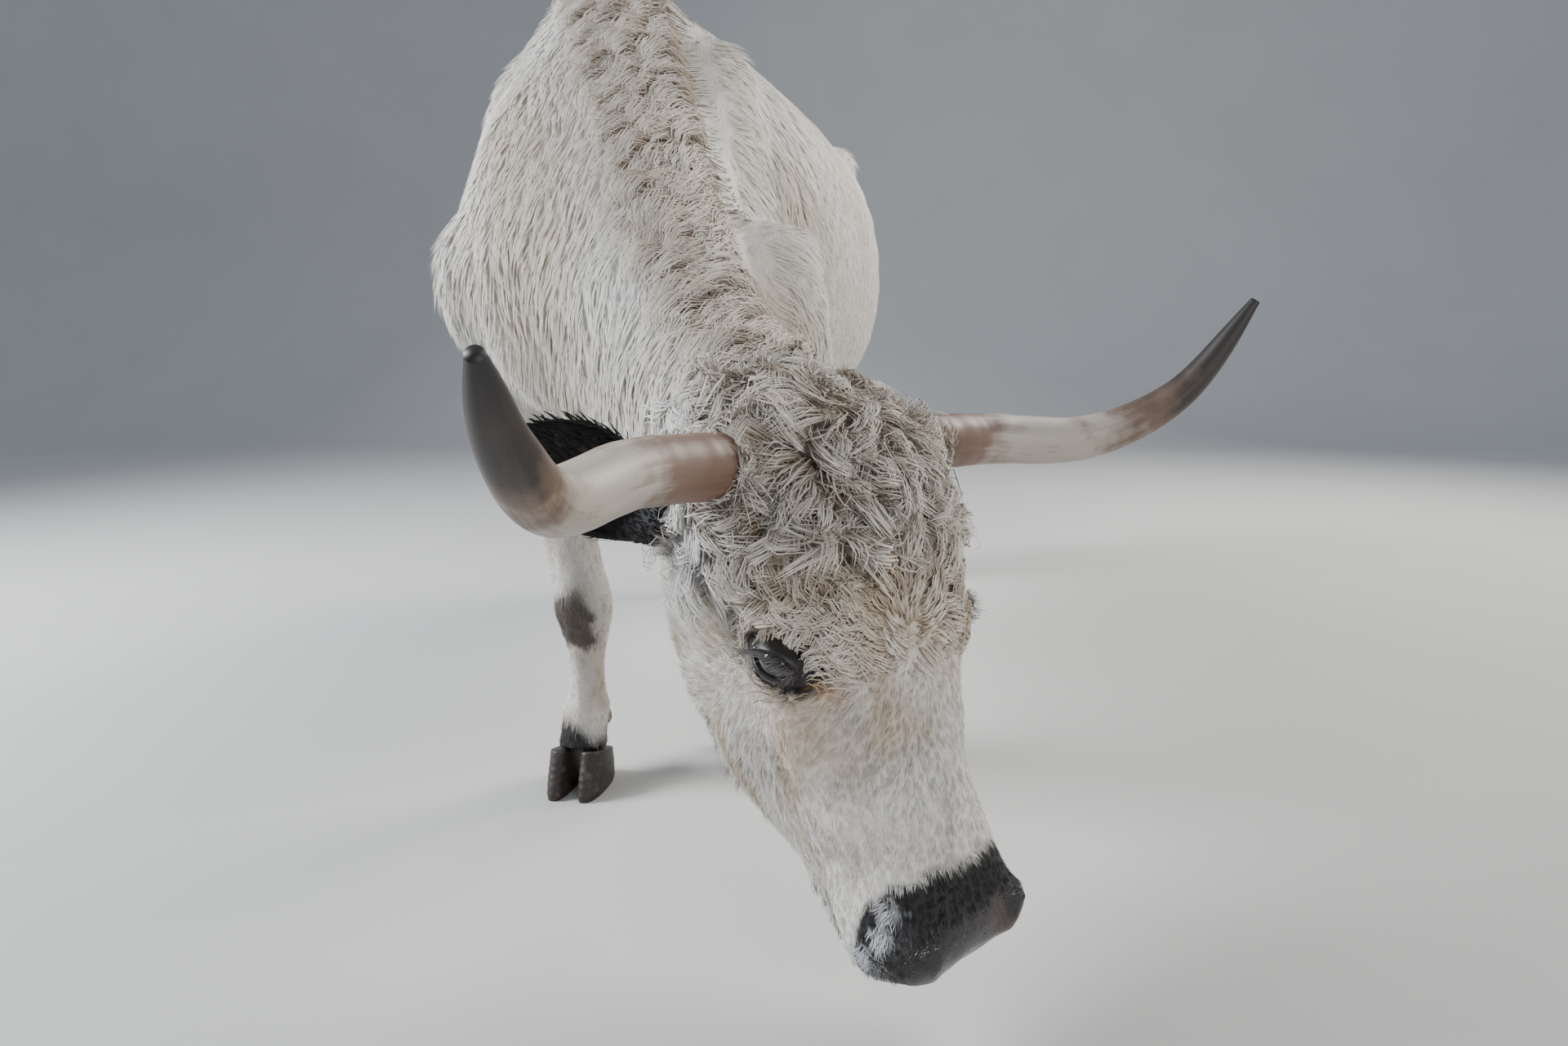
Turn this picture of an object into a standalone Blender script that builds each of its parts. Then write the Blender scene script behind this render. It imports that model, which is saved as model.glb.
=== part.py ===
import math

import bmesh
import bpy
import numpy as np
from mathutils import Matrix, Vector
from mathutils.bvhtree import BVHTree

# Park cattle cow at life size, grazing: head down to her left, horns up, four feet on the floor.
# Metres. She faces -Y, her left side is +X, up is +Z.

# Driving dimensions
WITHERS_HEIGHT = 1.295
BARREL_HALF_WIDTH = 0.352
SHOULDER_SHIFT = -0.040
HEAD_SCALE = 1.133
NODE_GAP = 0.0003
SOCKET_GAP = 0.0006
GOLDEN_TURN = 2.39996
HALF_GAP = NODE_GAP / 2
FLESH_VOXEL = 0.0065
FLESH_TRIANGLES = 5200
HORN_BASE_RADIUS = 0.0325
EYE_RADIUS = 0.0225
CORONET_HEIGHT = 0.062
CLAW_WIDTH = 0.047
TAIL_ROOT_RADIUS = 0.03
TAIL_TIP_RADIUS = 0.011

# Axes of the head: along the face to the muzzle, out of the forehead, and to her right
POLL = Vector((0.339, -0.474, 0.635))
FACE = Vector((0.330, -0.275, -0.903)).normalized()
BROW = Vector((0.675, -0.600, 0.429))
BROW = (BROW - FACE * BROW.dot(FACE)).normalized()
RIGHT = FACE.cross(BROW).normalized()
if RIGHT.x > 0:
    RIGHT = -RIGHT


def at_head(f, r, u):
    return POLL + (FACE * f + RIGHT * r + BROW * u) * HEAD_SCALE


for scene_object in list(bpy.data.objects):
    bpy.data.objects.remove(scene_object, do_unlink=True)

PARTS = bpy.data.collections.new("white_park_cattle")
CUTTERS = bpy.data.collections.new("cutters")
for group in (PARTS, CUTTERS):
    bpy.context.scene.collection.children.link(group)


def material(name, colour, roughness):
    made = bpy.data.materials.new(name)
    made.use_nodes = True
    shader = made.node_tree.nodes["Principled BSDF"]
    shader.inputs["Base Color"].default_value = (*colour, 1.0)
    shader.inputs["Roughness"].default_value = roughness
    shader.inputs["Metallic"].default_value = 0.0
    return made


COAT = material("white_coat", (0.74, 0.69, 0.60), 0.85)
BLACK_COAT = material("black_coat", (0.018, 0.016, 0.016), 0.8)
HORN = material("horn", (0.50, 0.41, 0.32), 0.45)
HOOF = material("hoof", (0.045, 0.038, 0.033), 0.55)
EYE = material("eye", (0.02, 0.014, 0.010), 0.05)
TEAT_SKIN = material("udder_skin", (0.62, 0.45, 0.38), 0.6)


# Meshes

def new_object(name, mesh, group, paint=None):
    made = bpy.data.objects.new(name, mesh)
    group.objects.link(made)
    if group is CUTTERS:
        made.hide_render = True
        made.display_type = "WIRE"
    if paint is not None:
        mesh.materials.clear()
        mesh.materials.append(paint)
    return made


def rings_to_mesh(name, rings):
    # Closed skin over rings of equal count, with a flat face on each end.
    count = len(rings[0])
    bm = bmesh.new()
    rows = [[bm.verts.new(point) for point in ring] for ring in rings]
    for low, high in zip(rows, rows[1:]):
        for i in range(count):
            j = (i + 1) % count
            bm.faces.new((low[i], low[j], high[j], high[i]))
    bm.faces.new(rows[0][::-1])
    bm.faces.new(rows[-1])
    bmesh.ops.recalc_face_normals(bm, faces=bm.faces)
    mesh = bpy.data.meshes.new(name)
    bm.to_mesh(mesh)
    bm.free()
    return mesh


def spline(rows, t):
    # Catmull-Rom value at t (0 to 1 over the whole list) of a list of equal tuples.
    spans = len(rows) - 1
    place = min(max(t, 0.0), 1.0) * spans
    i = min(int(place), spans - 1)
    s = place - i
    p0, p1, p2, p3 = (np.array(rows[min(max(k, 0), spans)], float) for k in (i - 1, i, i + 1, i + 2))
    lift = (2 * p0 - 5 * p1 + 4 * p2 - p3) * s * s
    bend = (3 * p1 - p0 - 3 * p2 + p3) * s * s * s
    return 0.5 * (2 * p1 + (p2 - p0) * s + lift + bend)


def section(top, bottom, side, half_width, widest, top_power, bottom_power, count):
    # Ring between a top and a bottom point: two half superellipses that meet at the widest height.
    top, bottom = Vector(top), Vector(bottom)
    rise = top - bottom
    up = rise.normalized()
    side = (side - up * side.dot(up)).normalized()
    middle = bottom + rise * widest
    ring = []
    for i in range(count):
        turn = 2 * math.pi * i / count
        c, s = math.cos(turn), math.sin(turn)
        power = top_power if c >= 0 else bottom_power
        reach = rise.length * ((1 - widest) if c >= 0 else widest)
        across = math.copysign(abs(s) ** (2 / power), s) * half_width
        above = math.copysign(abs(c) ** (2 / power), c) * reach
        ring.append(middle + side * across + up * above)
    return ring


def oval_rings(stations, steps, count):
    # Level ovals up a limb: each station is x, y, z, half width across, half length fore and aft.
    rings = []
    for k in range(steps + 1):
        x, y, z, across, along = spline(stations, k / steps)
        ring = []
        for i in range(count):
            turn = 2 * math.pi * i / count
            ring.append(Vector((x + across * math.cos(turn), y + along * math.sin(turn), z)))
        rings.append(ring)
    return rings


def tube_rings(path, radii, count, hint):
    # Round or oval rings square to a path; radii are pairs (along the hint, across it).
    rings = []
    for k, point in enumerate(path):
        ahead = Vector(path[min(k + 1, len(path) - 1)]) - Vector(path[max(k - 1, 0)])
        ahead.normalize()
        first = (hint - ahead * hint.dot(ahead)).normalized()
        second = ahead.cross(first)
        wide, thin = radii[k]
        ring = []
        for i in range(count):
            turn = 2 * math.pi * i / count
            ring.append(Vector(point) + first * wide * math.cos(turn)
                        + second * thin * math.sin(turn))
        rings.append(ring)
    return rings


def ellipsoid(name, centre, radii, tilt=None, segments=24, ring_count=14):
    bm = bmesh.new()
    bmesh.ops.create_uvsphere(bm, u_segments=segments, v_segments=ring_count, radius=1.0)
    turn = tilt if tilt is not None else Matrix.Identity(3)
    for vert in bm.verts:
        scaled = Vector((vert.co.x * radii[0], vert.co.y * radii[1], vert.co.z * radii[2]))
        vert.co = Vector(centre) + turn @ scaled
    mesh = bpy.data.meshes.new(name)
    bm.to_mesh(mesh)
    bm.free()
    return mesh


def join(name, meshes):
    bm = bmesh.new()
    for mesh in meshes:
        bm.from_mesh(mesh)
    whole = bpy.data.meshes.new(name)
    bm.to_mesh(whole)
    bm.free()
    return whole


def apply_modifiers(target):
    graph = bpy.context.evaluated_depsgraph_get()
    baked = bpy.data.meshes.new_from_object(target.evaluated_get(graph))
    target.modifiers.clear()
    old = target.data
    target.data = baked
    bpy.data.meshes.remove(old)
    return target


def cut(target, tool_mesh, operation, solver="EXACT"):
    tool = new_object("cut_tool", tool_mesh, CUTTERS)
    modifier = target.modifiers.new("cut", "BOOLEAN")
    modifier.operation = operation
    modifier.solver = solver
    modifier.object = tool
    apply_modifiers(target)
    bpy.data.objects.remove(tool, do_unlink=True)
    return target


def unite(target, meshes, solver="EXACT"):
    # One union of the target with a whole collection of closed pieces.
    group = bpy.data.collections.new("pieces")
    bpy.context.scene.collection.children.link(group)
    for mesh in meshes:
        new_object("piece", mesh, group)
    modifier = target.modifiers.new("unite", "BOOLEAN")
    modifier.operation = "UNION"
    modifier.operand_type = "COLLECTION"
    modifier.collection = group
    modifier.solver = solver
    apply_modifiers(target)
    for piece in list(group.objects):
        bpy.data.objects.remove(piece, do_unlink=True)
    bpy.data.collections.remove(group)
    return keep_largest(target)


def slab(corner_low, corner_high, frame=None, grow=0.0):
    # Closed box between two corners, in a frame of its own when one is given.
    bm = bmesh.new()
    bmesh.ops.create_cube(bm, size=1.0)
    low, high = Vector(corner_low), Vector(corner_high)
    for vert in bm.verts:
        place = Vector([high[k] + grow if vert.co[k] > 0 else low[k] - grow for k in range(3)])
        vert.co = frame @ place if frame is not None else place
    mesh = bpy.data.meshes.new("slab")
    bm.to_mesh(mesh)
    bm.free()
    return mesh


def grown(mesh, gap):
    # The same solid with every face moved out by the gap.
    bm = bmesh.new()
    bm.from_mesh(mesh)
    bm.normal_update()
    moves = [vert.normal * (gap * vert.calc_shell_factor()) for vert in bm.verts]
    for vert, move in zip(bm.verts, moves):
        vert.co += move
    larger = bpy.data.meshes.new("grown")
    bm.to_mesh(larger)
    bm.free()
    return larger


def keep_largest(target):
    bm = bmesh.new()
    bm.from_mesh(target.data)
    left = set(bm.verts)
    groups = []
    while left:
        stack = [left.pop()]
        found = set(stack)
        while stack:
            for edge in stack.pop().link_edges:
                for vert in edge.verts:
                    if vert in left:
                        left.discard(vert)
                        found.add(vert)
                        stack.append(vert)
        groups.append(found)
    groups.sort(key=len, reverse=True)
    for group in groups[1:]:
        bmesh.ops.delete(bm, geom=list(group), context="VERTS")
    bm.to_mesh(target.data)
    bm.free()
    return target


def wrapped(mesh):
    # Convex wrap of a mesh.
    bm = bmesh.new()
    for vert in mesh.vertices:
        bm.verts.new(vert.co)
    made = bmesh.ops.convex_hull(bm, input=bm.verts)
    spare = {v for v in made["geom_interior"] + made["geom_unused"] if isinstance(v, bmesh.types.BMVert)}
    bmesh.ops.delete(bm, geom=list(spare), context="VERTS")
    wrap = bpy.data.meshes.new("wrap")
    bm.to_mesh(wrap)
    bm.free()
    return wrap


def seat(body, name, mesh, paint, solver="EXACT", wrap=False):
    # Set a node into the body: the body is cut back to leave the thin gap all round it.
    bm = bmesh.new()
    bm.from_mesh(mesh)
    bmesh.ops.triangulate(bm, faces=bm.faces)
    bm.to_mesh(mesh)
    bm.free()
    cut(body, grown(wrapped(mesh) if wrap else mesh, SOCKET_GAP), "DIFFERENCE", solver)
    keep_largest(body)
    return new_object(name, mesh, PARTS, paint)


def take_off(body, name, low, high, paint, frame=None):
    # Part one region off the body with a thin gap, and return it as a node of its own.
    piece = new_object(name, body.data.copy(), PARTS, paint)
    cut(piece, slab(low, high, frame, -HALF_GAP), "INTERSECT")
    cut(body, slab(low, high, frame, HALF_GAP), "DIFFERENCE")
    keep_largest(piece)
    keep_largest(body)
    return piece


# Trunk and neck: top point, bottom point, half width, widest height, top and bottom fullness
TRUNK = [
    ((0, 1.478, 1.17), (0, 1.472, 1.05), 0.035, 0.5, 2.0, 2.0),
    ((0, 1.452, 1.240), (0, 1.452, 0.95), 0.110, 0.6, 2.2, 2.0),
    ((0, 1.38, 1.275), (0, 1.38, 0.85), 0.175, 0.60, 2.2, 2.2),
    ((0, 1.24, 1.290), (0, 1.24, 0.72), 0.235, 0.58, 2.3, 2.2),
    ((0, 1.10, 1.293), (0, 1.10, 0.650), 0.265, 0.58, 2.5, 2.2),
    ((-0.006, 0.95, 1.290), (-0.006, 0.95, 0.595), 0.301, 0.54, 2.5, 2.2),
    ((-0.015, 0.75, 1.276), (-0.014, 0.75, 0.545), 0.344, 0.48, 2.2, 2.2),
    ((-0.024, 0.55, 1.268), (-0.020, 0.55, 0.540), BARREL_HALF_WIDTH, 0.48, 2.1, 2.2),
    ((-0.036, 0.35, 1.271), (-0.028, 0.35, 0.555), 0.334, 0.50, 2.0, 2.1),
    ((-0.050, 0.15, 1.283), (-0.033, 0.15, 0.585), 0.284, 0.52, 1.80, 2.0),
    ((-0.049, 0.00, WITHERS_HEIGHT), (-0.028, 0.00, 0.60), 0.233, 0.50, 1.60, 2.0),
    ((-0.033, -0.055, 1.238), (-0.025, -0.15, 0.60), 0.211, 0.48, 1.6, 2.0),
    ((0.006, -0.115, 1.155), (-0.012, -0.25, 0.610), 0.193, 0.50, 1.7, 2.0),
    ((0.092, -0.225, 0.975), (0.035, -0.225, 0.590), 0.152, 0.50, 1.8, 2.0),
    ((0.168, -0.318, 0.830), (0.085, -0.225, 0.525), 0.128, 0.52, 1.9, 2.0),
    ((0.243, -0.392, 0.738), (0.135, -0.265, 0.470), 0.120, 0.54, 2.0, 2.1),
]

# Head: top (face, brow), bottom (face, brow), half width, widest height, top and bottom fullness
HEAD = [
    ((-0.040, -0.005), (0.063, -0.262), 0.117, 0.56, 2.2, 2.2),
    ((0.010, 0.020), (0.122, -0.275), 0.127, 0.66, 2.6, 2.5),
    ((0.080, 0.026), (0.166, -0.271), 0.125, 0.66, 2.8, 2.8),
    ((0.180, 0.020), (0.211, -0.251), 0.116, 0.64, 2.8, 2.8),
    ((0.250, 0.009), (0.266, -0.245), 0.107, 0.60, 2.5, 3.1),
    ((0.320, -0.004), (0.328, -0.223), 0.092, 0.56, 2.3, 2.9),
    ((0.390, -0.011), (0.385, -0.192), 0.081, 0.54, 2.3, 2.5),
    ((0.440, -0.017), (0.430, -0.176), 0.084, 0.56, 2.5, 2.4),
    ((0.475, -0.033), (0.455, -0.164), 0.084, 0.58, 2.6, 2.4),
    ((0.495, -0.061), (0.470, -0.153), 0.070, 0.56, 2.4, 2.2),
    ((0.503, -0.090), (0.482, -0.138), 0.033, 0.50, 2.0, 2.0),
]


def body_rings(count):
    rows = []
    for top, bottom, width, widest, upper, lower in TRUNK:
        turn = min(max((0.05 - top[1]) / 0.45, 0.0), 1.0)
        side = Vector((1, 0, 0)).lerp(-RIGHT, turn)
        rows.append((*top, *bottom, width, widest, upper, lower, *side))
    for top, bottom, width, widest, upper, lower in HEAD:
        high = at_head(top[0], 0, top[1])
        low = at_head(bottom[0], 0, bottom[1])
        rows.append((*high, *low, width * HEAD_SCALE, widest, upper, lower, *(-RIGHT)))
    steps = (len(rows) - 1) * 4
    rings = []
    for k in range(steps + 1):
        v = spline(rows, k / steps)
        rings.append(section(v[0:3], v[3:6], Vector(v[10:13]), v[6], v[7], v[8], v[9], count))
    return rings


# Legs, from inside the body down to the coronet: x, y, z, half width, half length
FORELEG = [
    (0.185, -0.050, 0.900, 0.080, 0.120),
    (0.200, -0.025, 0.800, 0.088, 0.130),
    (0.205, -0.005, 0.700, 0.088, 0.120),
    (0.195, -0.010, 0.600, 0.074, 0.095),
    (0.166, -0.035, 0.500, 0.060, 0.070),
    (0.135, -0.058, 0.400, 0.047, 0.054),
    (0.118, -0.070, 0.335, 0.051, 0.054),
    (0.115, -0.070, 0.300, 0.051, 0.052),
    (0.117, -0.062, 0.255, 0.040, 0.042),
    (0.120, -0.058, 0.205, 0.033, 0.037),
    (0.123, -0.057, 0.160, 0.034, 0.039),
    (0.126, -0.057, 0.125, 0.043, 0.047),
    (0.128, -0.068, 0.090, 0.042, 0.043),
    (0.130, -0.078, 0.045, 0.046, 0.052),
]
HINDLEG = [
    (0.140, 1.190, 1.060, 0.090, 0.220),
    (0.160, 1.185, 0.960, 0.105, 0.235),
    (0.165, 1.175, 0.860, 0.108, 0.220),
    (0.162, 1.180, 0.760, 0.092, 0.182),
    (0.155, 1.220, 0.660, 0.070, 0.130),
    (0.150, 1.270, 0.580, 0.055, 0.088),
    (0.147, 1.312, 0.510, 0.047, 0.066),
    (0.147, 1.308, 0.450, 0.042, 0.052),
    (0.148, 1.292, 0.360, 0.033, 0.040),
    (0.149, 1.280, 0.250, 0.032, 0.038),
    (0.150, 1.268, 0.165, 0.036, 0.041),
    (0.150, 1.256, 0.125, 0.044, 0.048),
    (0.150, 1.240, 0.090, 0.043, 0.044),
    (0.150, 1.228, 0.045, 0.047, 0.053),
]


def placed_leg(stations, mirror, swing):
    # One leg; the foot swings fore or aft of the plain stance, most at the floor.
    rows = []
    for x, y, z, across, along in stations:
        share = min(max((0.75 - z) / 0.62, 0.0), 1.0)
        rows.append((x * mirror, y + swing * share, z, across, along))
    return rows


LEGS = {
    "foreleg_right": placed_leg(FORELEG, -1, 0.0),
    "foreleg_left": placed_leg(FORELEG, 1, 0.16),
    "hindleg_right": placed_leg(HINDLEG, -1, -0.03),
    "hindleg_left": placed_leg(HINDLEG, 1, 0.05),
}


def mirrored(name, centre, radii, lean=0.0, middle=0.0):
    pair = []
    for sign in (-1, 1):
        place = (middle + centre[0] * sign, centre[1], centre[2])
        pair.append(ellipsoid(name, place, radii, Matrix.Rotation(lean, 3, "X")))
    return pair


def flesh_mesh():
    solids = [rings_to_mesh("trunk", body_rings(40))]
    for name, stations in LEGS.items():
        solids.append(rings_to_mesh(name, oval_rings(stations, 40, 24)))
    solids += mirrored("shoulder_blade", (0.150, 0.030, 0.98), (0.080, 0.15, 0.23), -0.25, SHOULDER_SHIFT)
    solids += mirrored("shoulder_point", (0.160, -0.150, 0.82), (0.080, 0.090, 0.12), 0.0, SHOULDER_SHIFT)
    solids += mirrored("upper_arm", (0.190, -0.01, 0.73), (0.080, 0.15, 0.17), 0.3, SHOULDER_SHIFT / 2)
    solids += mirrored("hook_bone", (0.200, 0.985, 1.203), (0.062, 0.095, 0.050))
    solids += mirrored("pin_bone", (0.090, 1.420, 1.170), (0.050, 0.050, 0.060))
    solids += mirrored("hip_joint", (0.190, 1.20, 1.08), (0.075, 0.12, 0.12))
    solids += mirrored("stifle", (0.185, 1.02, 0.80), (0.065, 0.085, 0.13), 0.2)
    solids += mirrored("hock_point", (0.147, 1.362, 0.535), (0.028, 0.032, 0.050))
    solids.append(ellipsoid("brisket", (0.0, -0.14, 0.68), (0.115, 0.17, 0.11)))
    solids.append(ellipsoid("udder", (0.0, 1.05, 0.625), (0.072, 0.115, 0.065)))
    turn = Matrix((FACE, RIGHT, BROW)).transposed()
    for side in (-1, 1):
        for f, r, u, radii in (
            (0.190, 0.088, -0.045, (0.060, 0.048, 0.045)),
            (0.180, 0.066, -0.160, (0.095, 0.057, 0.090)),
            (0.462, 0.053, -0.060, (0.038, 0.034, 0.038)),
            (0.030, 0.105, -0.020, (0.045, 0.050, 0.045)),
            (0.055, 0.112, -0.120, (0.036, 0.040, 0.036)),
        ):
            # Orbit, cheek, wing of the nostril, root of the horn and root of the ear
            solids.append(ellipsoid("head_form", at_head(f, r * side, u), radii, turn))
    solids.append(ellipsoid("chin", at_head(0.435, 0, -0.146), (0.050, 0.054, 0.040), turn))
    return join("flesh", solids)


def smooth_union(mesh):
    whole = new_object("flesh", mesh, CUTTERS)
    remesh = whole.modifiers.new("union", "REMESH")
    remesh.mode = "VOXEL"
    remesh.voxel_size = FLESH_VOXEL
    remesh.adaptivity = 0.0
    apply_modifiers(whole)
    # Bones and muscles of the trunk melt into each other more than those of the head and feet
    broad = whole.vertex_groups.new(name="broad")
    for vert in whole.data.vertices:
        from_head = (vert.co - at_head(0.25, 0, -0.1)).length
        share = min(1.0, max(0.0, (from_head - 0.42) / 0.15)) * min(1.0, max(0.0, (vert.co.z - 0.58) / 0.12))
        broad.add([vert.index], share, "REPLACE")
    for iterations, group in ((8, ""), (90, "broad")):
        soften = whole.modifiers.new("soften", "SMOOTH")
        soften.factor = 0.5
        soften.iterations = iterations
        soften.vertex_group = group
    apply_modifiers(whole)
    whole.vertex_groups.clear()
    return whole


def thin_out(whole, triangles):
    # Fewer faces, with most of them kept on the head.
    group = whole.vertex_groups.new(name="freely")
    for vert in whole.data.vertices:
        on_head = 1.0 - (vert.co - at_head(0.28, 0, -0.08)).length / 0.40
        keep = max(0.0, min(1.0, on_head * 2.0) * 0.24, 0.12 if vert.co.z < 0.62 else 0.0)
        group.add([vert.index], 1.0 - keep, "REPLACE")
    whole.data.calc_loop_triangles()
    thin = whole.modifiers.new("thin", "DECIMATE")
    thin.ratio = triangles / len(whole.data.loop_triangles)
    thin.vertex_group = "freely"
    thin.vertex_group_factor = 0.2
    thin.use_collapse_triangulate = True
    apply_modifiers(whole)
    whole.vertex_groups.clear()
    return whole


BODY = thin_out(smooth_union(flesh_mesh()), FLESH_TRIANGLES)


# Parting of the flesh into the named parts of the animal

def plane_frame(origin, normal, across):
    # Frame whose third axis is the normal of a parting plane.
    third = normal.normalized()
    first = (across - third * across.dot(third)).normalized()
    second = third.cross(first)
    frame = Matrix((first, second, third)).transposed().to_4x4()
    frame.translation = origin
    return frame


NAPE = at_head(-0.075, 0, 0.0)
THROAT = at_head(0.055, 0, -0.25)
HEAD_CUT = plane_frame(NAPE, (NAPE - THROAT).cross(RIGHT), RIGHT)
if (HEAD_CUT.to_3x3() @ Vector((0, 0, 1))).dot(FACE) < 0:
    HEAD_CUT = HEAD_CUT @ Matrix.Rotation(math.pi, 4, "X")
head = take_off(BODY, "head", (-0.4, -0.4, 0.0), (0.4, 0.4, 0.8), COAT, HEAD_CUT)

NECK_TOP = Vector((0.045, -0.125, 1.145))
NECK_FOOT = Vector((0.04, -0.235, 0.60))
NECK_CUT = plane_frame(NECK_TOP, (NECK_TOP - NECK_FOOT).cross(Vector((-0.97, -0.2, 0))), RIGHT)
if (NECK_CUT.to_3x3() @ Vector((0, 0, 1))).y > 0:
    NECK_CUT = NECK_CUT @ Matrix.Rotation(math.pi, 4, "X")
neck = take_off(BODY, "neck", (-0.5, -0.8, 0.0), (0.5, 0.8, 0.6), COAT, NECK_CUT)

UDDER_BOX = ((-0.083, 0.92, 0.30), (0.083, 1.19, 0.632))
udder = take_off(BODY, "udder", *UDDER_BOX, TEAT_SKIN)

LEG_BOXES = {
    "foreleg_right": ((-0.40, -0.35, -0.1), (-0.045, 0.30, 0.655)),
    "foreleg_left": ((0.045, -0.12, -0.1), (0.40, 0.40, 0.655)),
    "hindleg_right": ((-0.45, 0.90, -0.1), (-0.050, 1.60, 0.72)),
    "hindleg_left": ((0.050, 0.90, -0.1), (0.45, 1.60, 0.72)),
}
legs = {}
for leg_name, (low_corner, high_corner) in LEG_BOXES.items():
    legs[leg_name] = take_off(BODY, leg_name, low_corner, high_corner, COAT)

torso = new_object("torso", BODY.data.copy(), PARTS, COAT)
bpy.data.objects.remove(BODY, do_unlink=True)


# The head carries so many small crossing forms that only this solver keeps it one closed surface
FINE_WORK = "MANIFOLD"


# Ears: a leaf that is solid at the root and opens into a cup; both hang behind the horns

EAR_PROFILE = [
    # half width, depth of the cup, how open the cup is
    (0.024, 0.022, 0.00),
    (0.032, 0.025, 0.00),
    (0.046, 0.028, 0.70),
    (0.058, 0.030, 1.00),
    (0.061, 0.028, 1.00),
    (0.054, 0.023, 1.00),
    (0.036, 0.016, 1.00),
    (0.008, 0.008, 1.00),
]
EAR_LENGTH = 0.215
EAR_THICKNESS = 0.0065
EAR_POSES = {
    # root, along the ear, towards the open side: all in head axes (face, out to her side, brow)
    "right": (1, (0.055, 0.114, -0.122), (-0.68, 0.70, -0.22), (0.35, 0.60, 0.70)),
    "left": (-1, (0.055, 0.105, -0.128), (0.15, 0.62, -0.77), (0.60, 0.65, 0.40)),
}


def ear_rings(word, arc, steps):
    side, root, along, opening = EAR_POSES[word]

    def turn(v):
        return FACE * v[0] + RIGHT * (v[1] * side) + BROW * v[2]

    start = at_head(root[0], root[1] * side, root[2])
    axis = turn(along).normalized()
    front = turn(opening)
    front = (front - axis * front.dot(axis)).normalized()
    across = axis.cross(front)
    rings = []
    for k in range(steps + 1):
        t = k / steps
        width, depth, cup = spline(EAR_PROFILE, t)
        centre = start + axis * (EAR_LENGTH * t) - front * (0.02 * t * t)
        ring = []
        for i in range(arc + 1):
            phi = math.pi * (i / arc - 0.5)
            ring.append(centre + across * (width * math.sin(phi))
                        - front * (depth * math.cos(phi)))
        for i in range(1, arc):
            phi = math.pi * (0.5 - i / arc)
            full = depth * math.cos(phi)
            hollow = -(depth - EAR_THICKNESS) * math.cos(phi)
            ring.append(centre + across * (width * math.sin(phi) * (1 - 0.1 * cup))
                        + front * (full * (1 - cup) + hollow * cup))
        rings.append(ring)
    return rings


for word in EAR_POSES:
    seat(head, "ear_" + word, rings_to_mesh("ear_" + word, ear_rings(word, 8, 10)), BLACK_COAT,
         FINE_WORK, wrap=True)


# Eyes: each ball sits in a lid shell with an almond opening, under a fold of the brow

LID_THICKNESS = 0.0038
EYE_OPENING = (0.0215, 0.0115)
EYE_PLACE = (0.196, 0.112, -0.040)


def eye_frame(side):
    # Third axis looks out of the eye, the first runs from the back corner to the front corner.
    centre = at_head(EYE_PLACE[0], side * EYE_PLACE[1], EYE_PLACE[2])
    out = (FACE * 0.10 + RIGHT * (0.82 * side) + BROW * 0.56).normalized()
    along = FACE * 0.62 - RIGHT * (0.21 * side) + BROW * 0.58
    along = (along - out * along.dot(out)).normalized()
    frame = Matrix((along, out.cross(along), out)).transposed().to_4x4()
    frame.translation = centre
    return frame


def almond(frame):
    half_long, half_high = EYE_OPENING
    rings = []
    for depth, spread in ((0.004, 0.75), (0.022, 1.0), (0.045, 1.5)):
        ring = []
        for i in range(16):
            turn = 2 * math.pi * i / 16
            px = half_long * spread * math.cos(turn)
            py = half_high * spread * math.copysign(abs(math.sin(turn)) ** 1.3, math.sin(turn))
            ring.append(frame @ Vector((px, py, depth)))
        rings.append(ring)
    return rings_to_mesh("almond", rings)


def lid_fold(frame, side):
    # A roll of skin over the eye, thick in the middle and thin at the corners.
    path = []
    radii = []
    for k in range(8):
        turn = math.pi * (0.06 + 0.88 * k / 7)
        upward = 1.0 if (frame.to_3x3() @ Vector((0, 1, 0))).dot(BROW) > 0 else -1.0
        reach = EYE_RADIUS + 0.006
        path.append(frame @ Vector((reach * math.cos(turn), upward * 0.80 * reach * math.sin(turn),
                                    0.010 + 0.004 * math.sin(turn))))
        size = 0.0035 + 0.0055 * math.sin(turn)
        radii.append((size, size))
    return rings_to_mesh("fold", tube_rings(path, radii, 8, (frame.to_3x3() @ Vector((0, 0, 1)))))


for word, side in (("right", 1), ("left", -1)):
    frame = eye_frame(side)
    shell = ellipsoid("lids", frame.translation, (EYE_RADIUS + LID_THICKNESS,) * 3, None, 14, 8)
    unite(head, [shell, lid_fold(frame, side)], FINE_WORK)
    cut(head, almond(frame), "DIFFERENCE", FINE_WORK)
    ball = ellipsoid("eye", frame.translation, (EYE_RADIUS,) * 3, frame.to_3x3(), 14, 9)
    seat(head, "eye_" + word, ball, EYE, FINE_WORK)


# Muzzle: comma-shaped nostrils and the line of the mouth

NOSTRIL_PLACE = (0.489, 0.056, -0.064)
NOSTRIL_RADII = (0.030, 0.0085, 0.0165)

for side in (1, -1):
    slant = (FACE * 0.30 - RIGHT * (0.10 * side) + BROW * 0.95).normalized()
    inward = (-FACE * 0.85 - RIGHT * (0.50 * side) - BROW * 0.10)
    inward = (inward - slant * inward.dot(slant)).normalized()
    nostril = Matrix((inward, slant.cross(inward), slant)).transposed()
    place = at_head(NOSTRIL_PLACE[0], side * NOSTRIL_PLACE[1], NOSTRIL_PLACE[2])
    pit = ellipsoid("nostril", place, NOSTRIL_RADII, nostril, 14, 8)
    cut(head, pit, "DIFFERENCE", FINE_WORK)

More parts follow.
